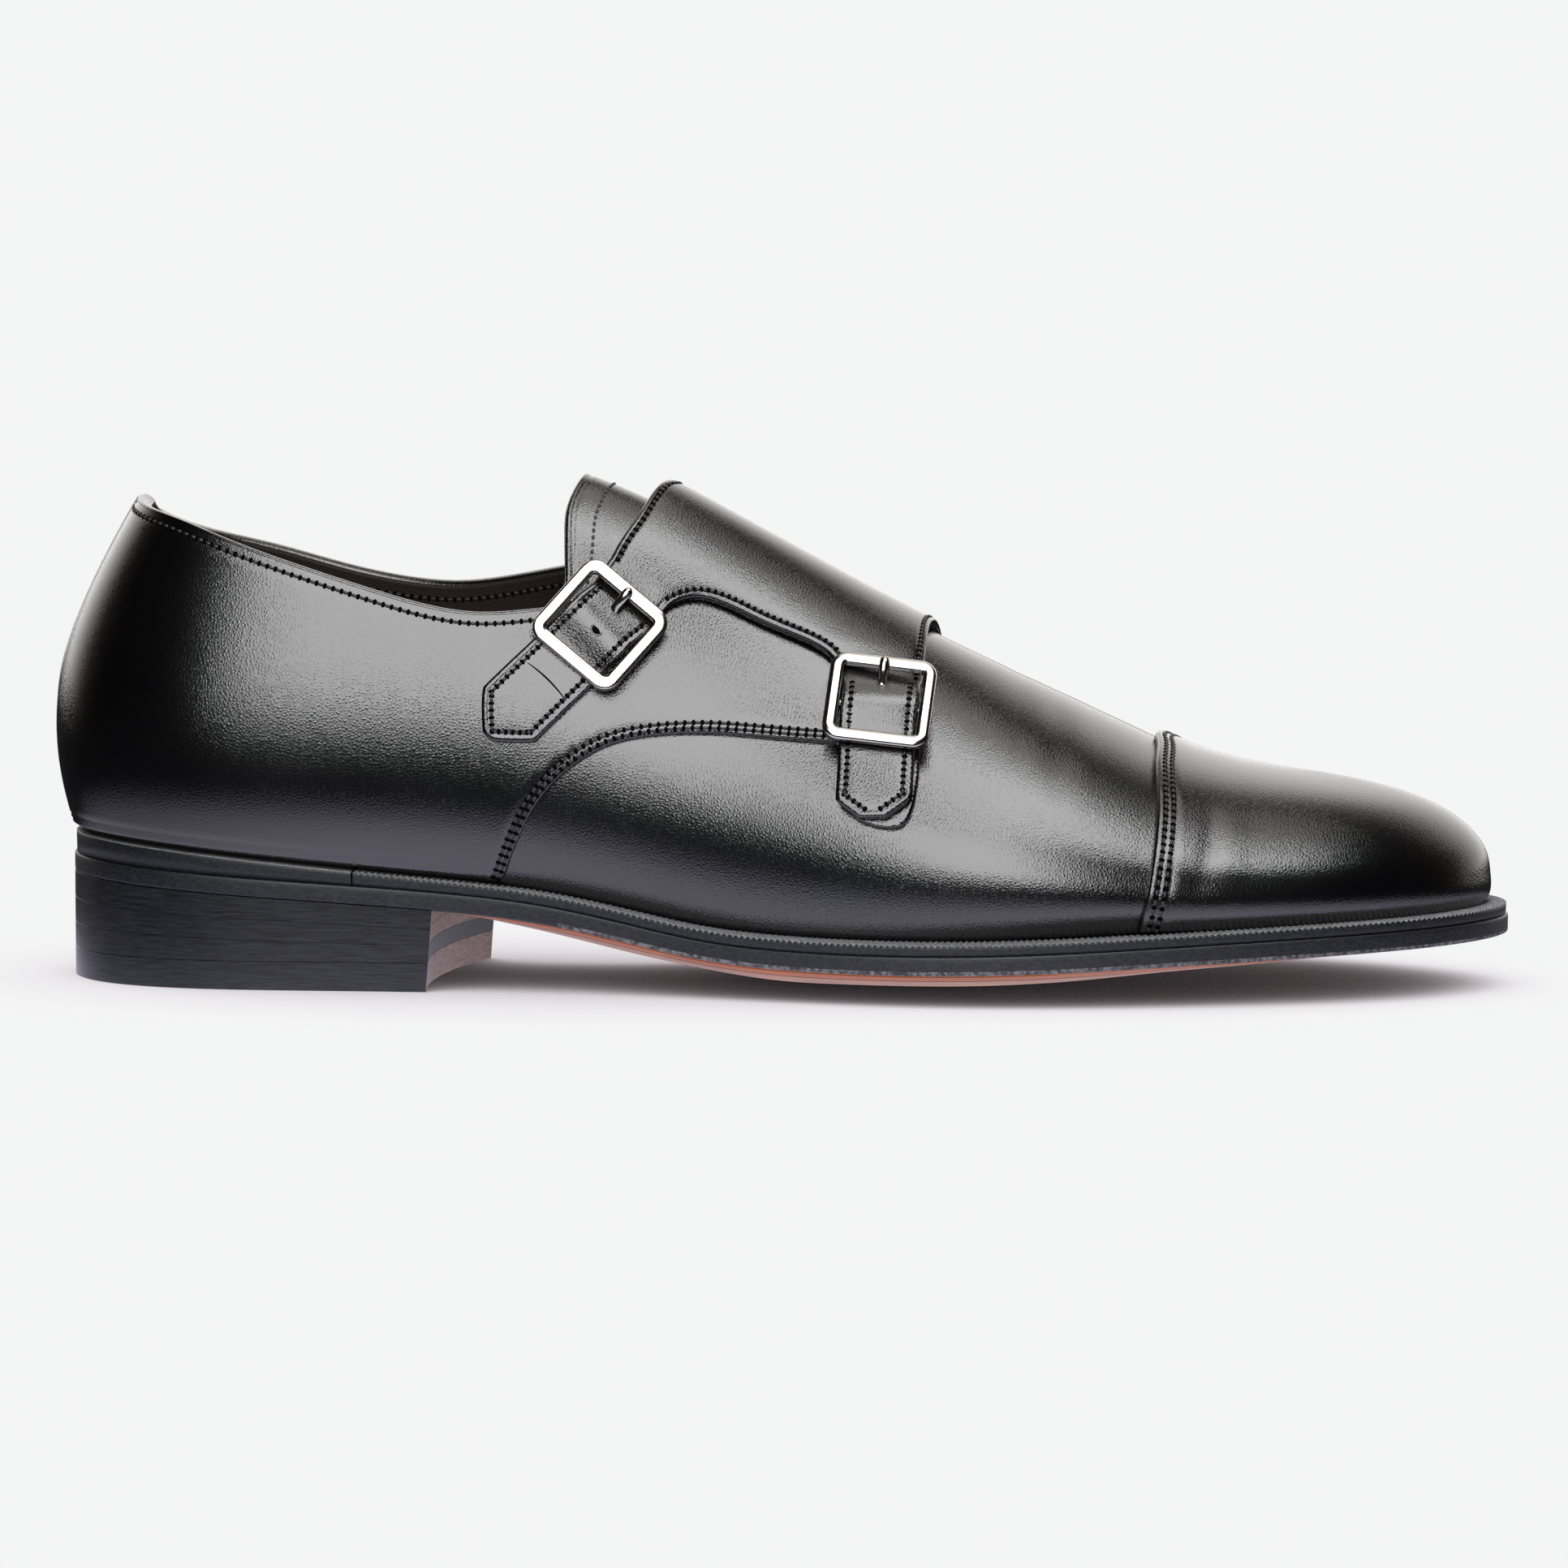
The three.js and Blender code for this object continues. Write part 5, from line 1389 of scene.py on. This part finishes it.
def pressed_line_shade(name, forward, bend):
    """The line that a frame has pressed across a strap, as a thin matte dark rod: painted shade in the
    crease.
    """
    across = np.linspace(-STRAP_WIDTH / 2 + 2.6, STRAP_WIDTH / 2 - 1.2, 24)
    path = on_strap(name, forward + bend * (across / 6) ** 2, across)[0]
    points, faces = tube(path, 0.2 * np.sqrt(np.sin(np.linspace(0.15, 3.0, 24))), sides=6)
    piece(f"{name}_pressed_line_shade", points, faces, "hole")


punched_hole("upper", 1.0, 0.4, 1.15)
pressed_line_shade("upper", 14.6, 0.5)
buckle("upper", 4.0)
buckle("lower", 2.5)
chape("upper")
chape("lower")


def collar_roll():
    """The rolled edge over the collar, from the outer strap round the heel to the inner side."""
    outer, inner = np.linspace(0.425, 0.0, 150), np.linspace(0.0025, 0.395, 140)
    crest = (QUARTER_LOW + QUARTER_THICK - WALL) / 2
    path = np.concatenate([leather(outer, collar_outer(outer) - 0.002, crest),
                           leather(inner, collar_inner(inner) + 0.002, crest)])
    out = np.concatenate([normal_at(outer, collar_outer(outer)),
                          normal_at(inner, collar_inner(inner))])
    points, faces = tube(path, (OVERLAY + WALL + CURVED_GAP) / 2, sides=16, squash=0.45,
                         up=np.cross(out, unit(np.gradient(path, axis=0))))
    piece("collar_roll", points, faces, "calf")


collar_roll()


# Stitches

def capsule(length, width, height, rings=5, sides=6):
    """A thread's visible loop: a low pill along x, its middle on the origin."""
    t = np.linspace(-1, 1, rings)[:, None]
    size = np.sqrt(np.maximum(1 - (t * 0.94) ** 2, 0.06))
    cos, sin = circle(sides)
    points = np.stack([t * length / 2 + 0 * cos.T, size * cos.T * width / 2, size * sin.T * height / 2], -1)
    index = numbers(rings, sides)
    return points.reshape(-1, 3), between(index[:-1], index[1:])


def scatter(template, faces, origin, x_axis, z_axis):
    """Copies of a small mesh at many places, as whole arrays."""
    axes = np.stack([x_axis, np.cross(z_axis, x_axis), z_axis], 1)
    points = origin[:, None] + np.einsum("tk,nkc->ntc", template, axes)
    shift = (np.arange(len(origin)) * len(template))[:, None, None]
    return points.reshape(-1, 3), [(faces[None] + shift).reshape(-1, faces.shape[1])]


STITCHES = {"quarter": [], "holes": [], "flap": [], "cap": [], "lining": []}


def stitches(group, path, height, pitch=1.8):
    """A row of stitches with holes between them along a line of places, at a height over the last;
    a height below the lining's faces inward. The holes are matte dark ovals, painted shade."""
    path = even_on_leather(np.asarray(path, float), pitch)
    along, over = ((path[1:] + path[:-1]) / 2).T
    normal = normal_at(along, over)
    high = height(along, over)
    sign = -1.0 if np.mean(high) < -1 else 1.0
    ahead = np.diff(leather(*path.T), axis=0)
    ahead = unit(ahead - normal * (ahead * normal).sum(-1, keepdims=True))
    origin = leather(along, over) + normal * (high - THREAD_SUNK * sign)[:, None]
    thread = capsule(pitch * THREAD_SHARE, THREAD_WIDTH, THREAD_HEIGHT)
    STITCHES[group].append(scatter(*thread, origin, ahead, normal * sign))
    out = normal_at(*path.T)
    ahead = np.vstack([ahead, ahead[-1:]])
    ahead = unit(ahead - out * (ahead * out).sum(-1, keepdims=True))
    origin = leather(*path.T) + out * (height(*path.T) + HOLE_LIFT * sign)[:, None]
    # matte dark ovals over the holes: painted shade in them
    cos, sin = circle(8)
    oval = np.concatenate([HOLE_RADIUS * cos, HOLE_RADIUS * sin, 0 * cos], 1) * HOLE_OVAL
    STITCHES["holes"].append(scatter(oval, np.arange(8)[None], origin, ahead, out * sign))


quarter_top = flat_at(QUARTER_LOW + QUARTER_THICK)
seam, inner_seam = smooth_path(SEAM_OUTER, count=120), smooth_path(SEAM_INNER, count=120)
for inset in (0.95, 2.1):
    stitches("quarter", beside(seam, -inset), quarter_top)
    stitches("quarter", beside(inner_seam, inset), flap_top)
stitches("quarter", collar_line(collar_outer, 0.012, 0.43, 0.02), quarter_top)
stitches("quarter", collar_line(collar_inner, 0.012, 0.4, -0.02, count=80), flap_top)

for edge, count, inset in ((FLAP_REAR, 80, 1.5), (FLAP_LOWER, 60, 1.6), (FLAP_FRONT, 80, 1.5)):
    stitches("flap", beside(smooth_path(edge, count=count), inset), flap_top, pitch=1.5)
for side_left, side_right in ((upper_left, upper_right), (lower_left, lower_right)):
    stitches("flap", beside(side_left, 2.0), flap_top, pitch=1.45)
    stitches("flap", beside(side_right, -2.0), flap_top, pitch=1.45)

cap_line = smooth_path(CAP_EDGE, count=200)
for inset in (1.7, 3.3):
    stitches("cap", beside(cap_line, inset), flat_at(CAP_GAP + CAP))
tongue_edge = smooth_path([
    [0.373, 0.62], [0.376, 0.7], [0.378, 0.79], [0.383, 0.87], [0.388, 0.94], [0.3905, 1.0],
    [0.388, 1.08], [0.38, 1.25],
], count=60)
stitches("flap", beside(tongue_edge, 6.0), flat_at(TONGUE_LOW + TONGUE))
stitches("lining", collar_line(collar_inner, 0.005, 0.42, -0.03, count=90), flat_at(-WALL), pitch=1.9)

for group, parts in STITCHES.items():
    name = "stitch_hole_shade" if group == "holes" else f"{group}_stitches"
    look = {"holes": "hole", "lining": "lining_thread"}.get(group, "thread")
    piece(name, *merged(parts), look)


# Camera, light and floor

# The camera's lens, its turn round the shoe and its height, in degrees, and its distance in metres
LENS = 198.06
CAMERA_TURN, CAMERA_RISE, CAMERA_AWAY = 5.0, 5.7, 1.8
CAMERA_TARGET = [149.25, 0, 40.5]


def camera():
    """The camera, turned by the two angles and set back from its target along its own axis."""
    data = bpy.data.cameras.new("camera")
    data.lens = LENS
    data.sensor_width = 36
    data.clip_end = 100
    eye = bpy.data.objects.new("camera", data)
    bpy.context.scene.collection.objects.link(eye)
    turn, rise = np.radians([CAMERA_TURN, CAMERA_RISE])
    ahead = np.array([-np.sin(turn) * np.cos(rise), np.cos(turn) * np.cos(rise), -np.sin(rise)])
    eye.location = to_world(CAMERA_TARGET)[0] - ahead * CAMERA_AWAY
    eye.rotation_euler = (np.pi / 2 - rise, 0, turn)
    bpy.context.scene.camera = eye


def softbox(name, place, target, size, power, colour=(1, 1, 1)):
    """An area light at a place, turned to a target, both in metres."""
    data = bpy.data.lights.new(name, "AREA")
    data.shape = "RECTANGLE"
    data.size, data.size_y = size
    data.energy = power
    data.color = colour
    lamp = bpy.data.objects.new(name, data)
    bpy.context.scene.collection.objects.link(lamp)
    lamp.location = place
    away = np.asarray(place, float) - np.asarray(target, float)
    flat = np.hypot(away[0], away[1])
    lamp.rotation_euler = (np.arctan2(flat, away[2]), 0, np.arctan2(away[1], away[0]) + np.pi / 2)


def by_ray(tree, lit, seen, output):
    """The seen shader for the camera's own rays and the lit one for all the rest."""
    mix = tree.nodes.new("ShaderNodeMixShader")
    rays = tree.nodes.new("ShaderNodeLightPath")
    tree.links.new(rays.outputs["Is Camera Ray"], mix.inputs["Fac"])
    tree.links.new(lit.outputs[0], mix.inputs[1])
    tree.links.new(seen.outputs[0], mix.inputs[2])
    tree.links.new(mix.outputs[0], tree.nodes[output].inputs["Surface"])


def floor():
    """Pale floor: seen straight it keeps the backdrop's tone but for a soft contact shadow, painted into
    its glowing colour by ambient occlusion; for other rays it glows a little near the shoe only, a painted
    glow for the light it throws back."""
    mesh = bpy.data.meshes.new("floor")
    reach = 8.0
    mesh.from_pydata([(-reach, -reach, 0), (reach, -reach, 0), (reach, reach, 0), (-reach, reach, 0)],
                     [], [(0, 1, 2, 3)])
    thing = bpy.data.objects.new("floor", mesh)
    bpy.context.scene.collection.objects.link(thing)
    mat, tree, shader = material("floor")
    tree.nodes.remove(shader)
    # painted contact shadow: ambient occlusion darkens the colour that the camera sees
    contact = node(tree, "ShaderNodeAmbientOcclusion", Distance=0.085, samples=12)
    painted_shadow_tone = ramp(tree, contact.outputs["AO"], [
        (0.0, (0.015, 0.012, 0.013)), (0.14, (0.15, 0.125, 0.13)), (0.3, (0.45, 0.4, 0.42)),
        (0.6, (0.8, 0.77, 0.8)), (0.84, BACKDROP),
    ])
    seen = tree.nodes.new("ShaderNodeEmission")
    tree.links.new(painted_shadow_tone, seen.inputs["Color"])
    place = tree.nodes.new("ShaderNodeTexCoord").outputs["Object"]
    spread = node(tree, "ShaderNodeMapping")
    spread.inputs["Scale"].default_value = (1 / GLOW_REACH[0], 1 / GLOW_REACH[1], 0)
    tree.links.new(place, spread.inputs["Vector"])
    away = tree.nodes.new("ShaderNodeVectorMath")
    away.operation = "LENGTH"
    tree.links.new(spread.outputs[0], away.inputs[0])
    # painted glow: the floor gives off light near the shoe for every ray but the camera's
    painted_glow = tree.nodes.new("ShaderNodeEmission")
    fading = ramp(tree, away.outputs["Value"], [
        (0.0, FLOOR_GLOW), (0.6, FLOOR_GLOW), (1.0, (0.02, 0.02, 0.022)),
    ])
    tree.links.new(fading, painted_glow.inputs["Color"])
    by_ray(tree, painted_glow, seen, "Material Output")
    mesh.materials.append(mat)


def world():
    """Even pale tone straight ahead; for reflections dark, but for a pale wall behind the shoe."""
    made = bpy.data.worlds.new("world")
    bpy.context.scene.world = made
    made.use_nodes = True
    tree = made.node_tree
    back = tree.nodes["Background"]
    ahead = tree.nodes.new("ShaderNodeSeparateXYZ")
    tree.links.new(tree.nodes.new("ShaderNodeTexCoord").outputs["Generated"], ahead.inputs[0])
    wall_tone = ramp(tree, ahead.outputs["Y"], [
        (0.0, (0.004, 0.004, 0.005)), (0.15, (0.02, 0.012, 0.009)), (0.38, (0.06, 0.04, 0.032)),
        (0.62, (0.65, 0.61, 0.58)), (0.85, (0.95, 0.93, 0.91)),
    ])
    back.inputs["Strength"].default_value = 1.9
    high = ramp(tree, ahead.outputs["Z"], [(0.6, (1, 1, 1)), (0.8, (0.1, 0.1, 0.1))])
    both = tree.nodes.new("ShaderNodeMix")
    both.data_type, both.blend_type = "RGBA", "MULTIPLY"
    both.inputs["Factor"].default_value = 1.0
    tree.links.new(wall_tone, both.inputs["A"])
    tree.links.new(high, both.inputs["B"])
    tree.links.new(both.outputs["Result"], back.inputs["Color"])
    seen = tree.nodes.new("ShaderNodeBackground")
    seen.inputs["Color"].default_value = (*BACKDROP, 1)
    by_ray(tree, back, seen, "World Output")


camera()
floor()
world()
softbox("front", (-0.06, -0.84, 0.51), (-0.06, 0.0, 0.05), (0.66, 0.82), 9)
softbox("top", (0.18, -0.33, 0.88), (0.06, 0.0, 0.05), (0.62, 0.42), 4.6)
softbox("ceiling", (0.12, 0.12, 0.92), (0.05, 0.08, 0.0), (0.5, 0.5), 1.2, (1, 0.97, 0.95))
bpy.context.scene.view_settings.view_transform = "Standard"
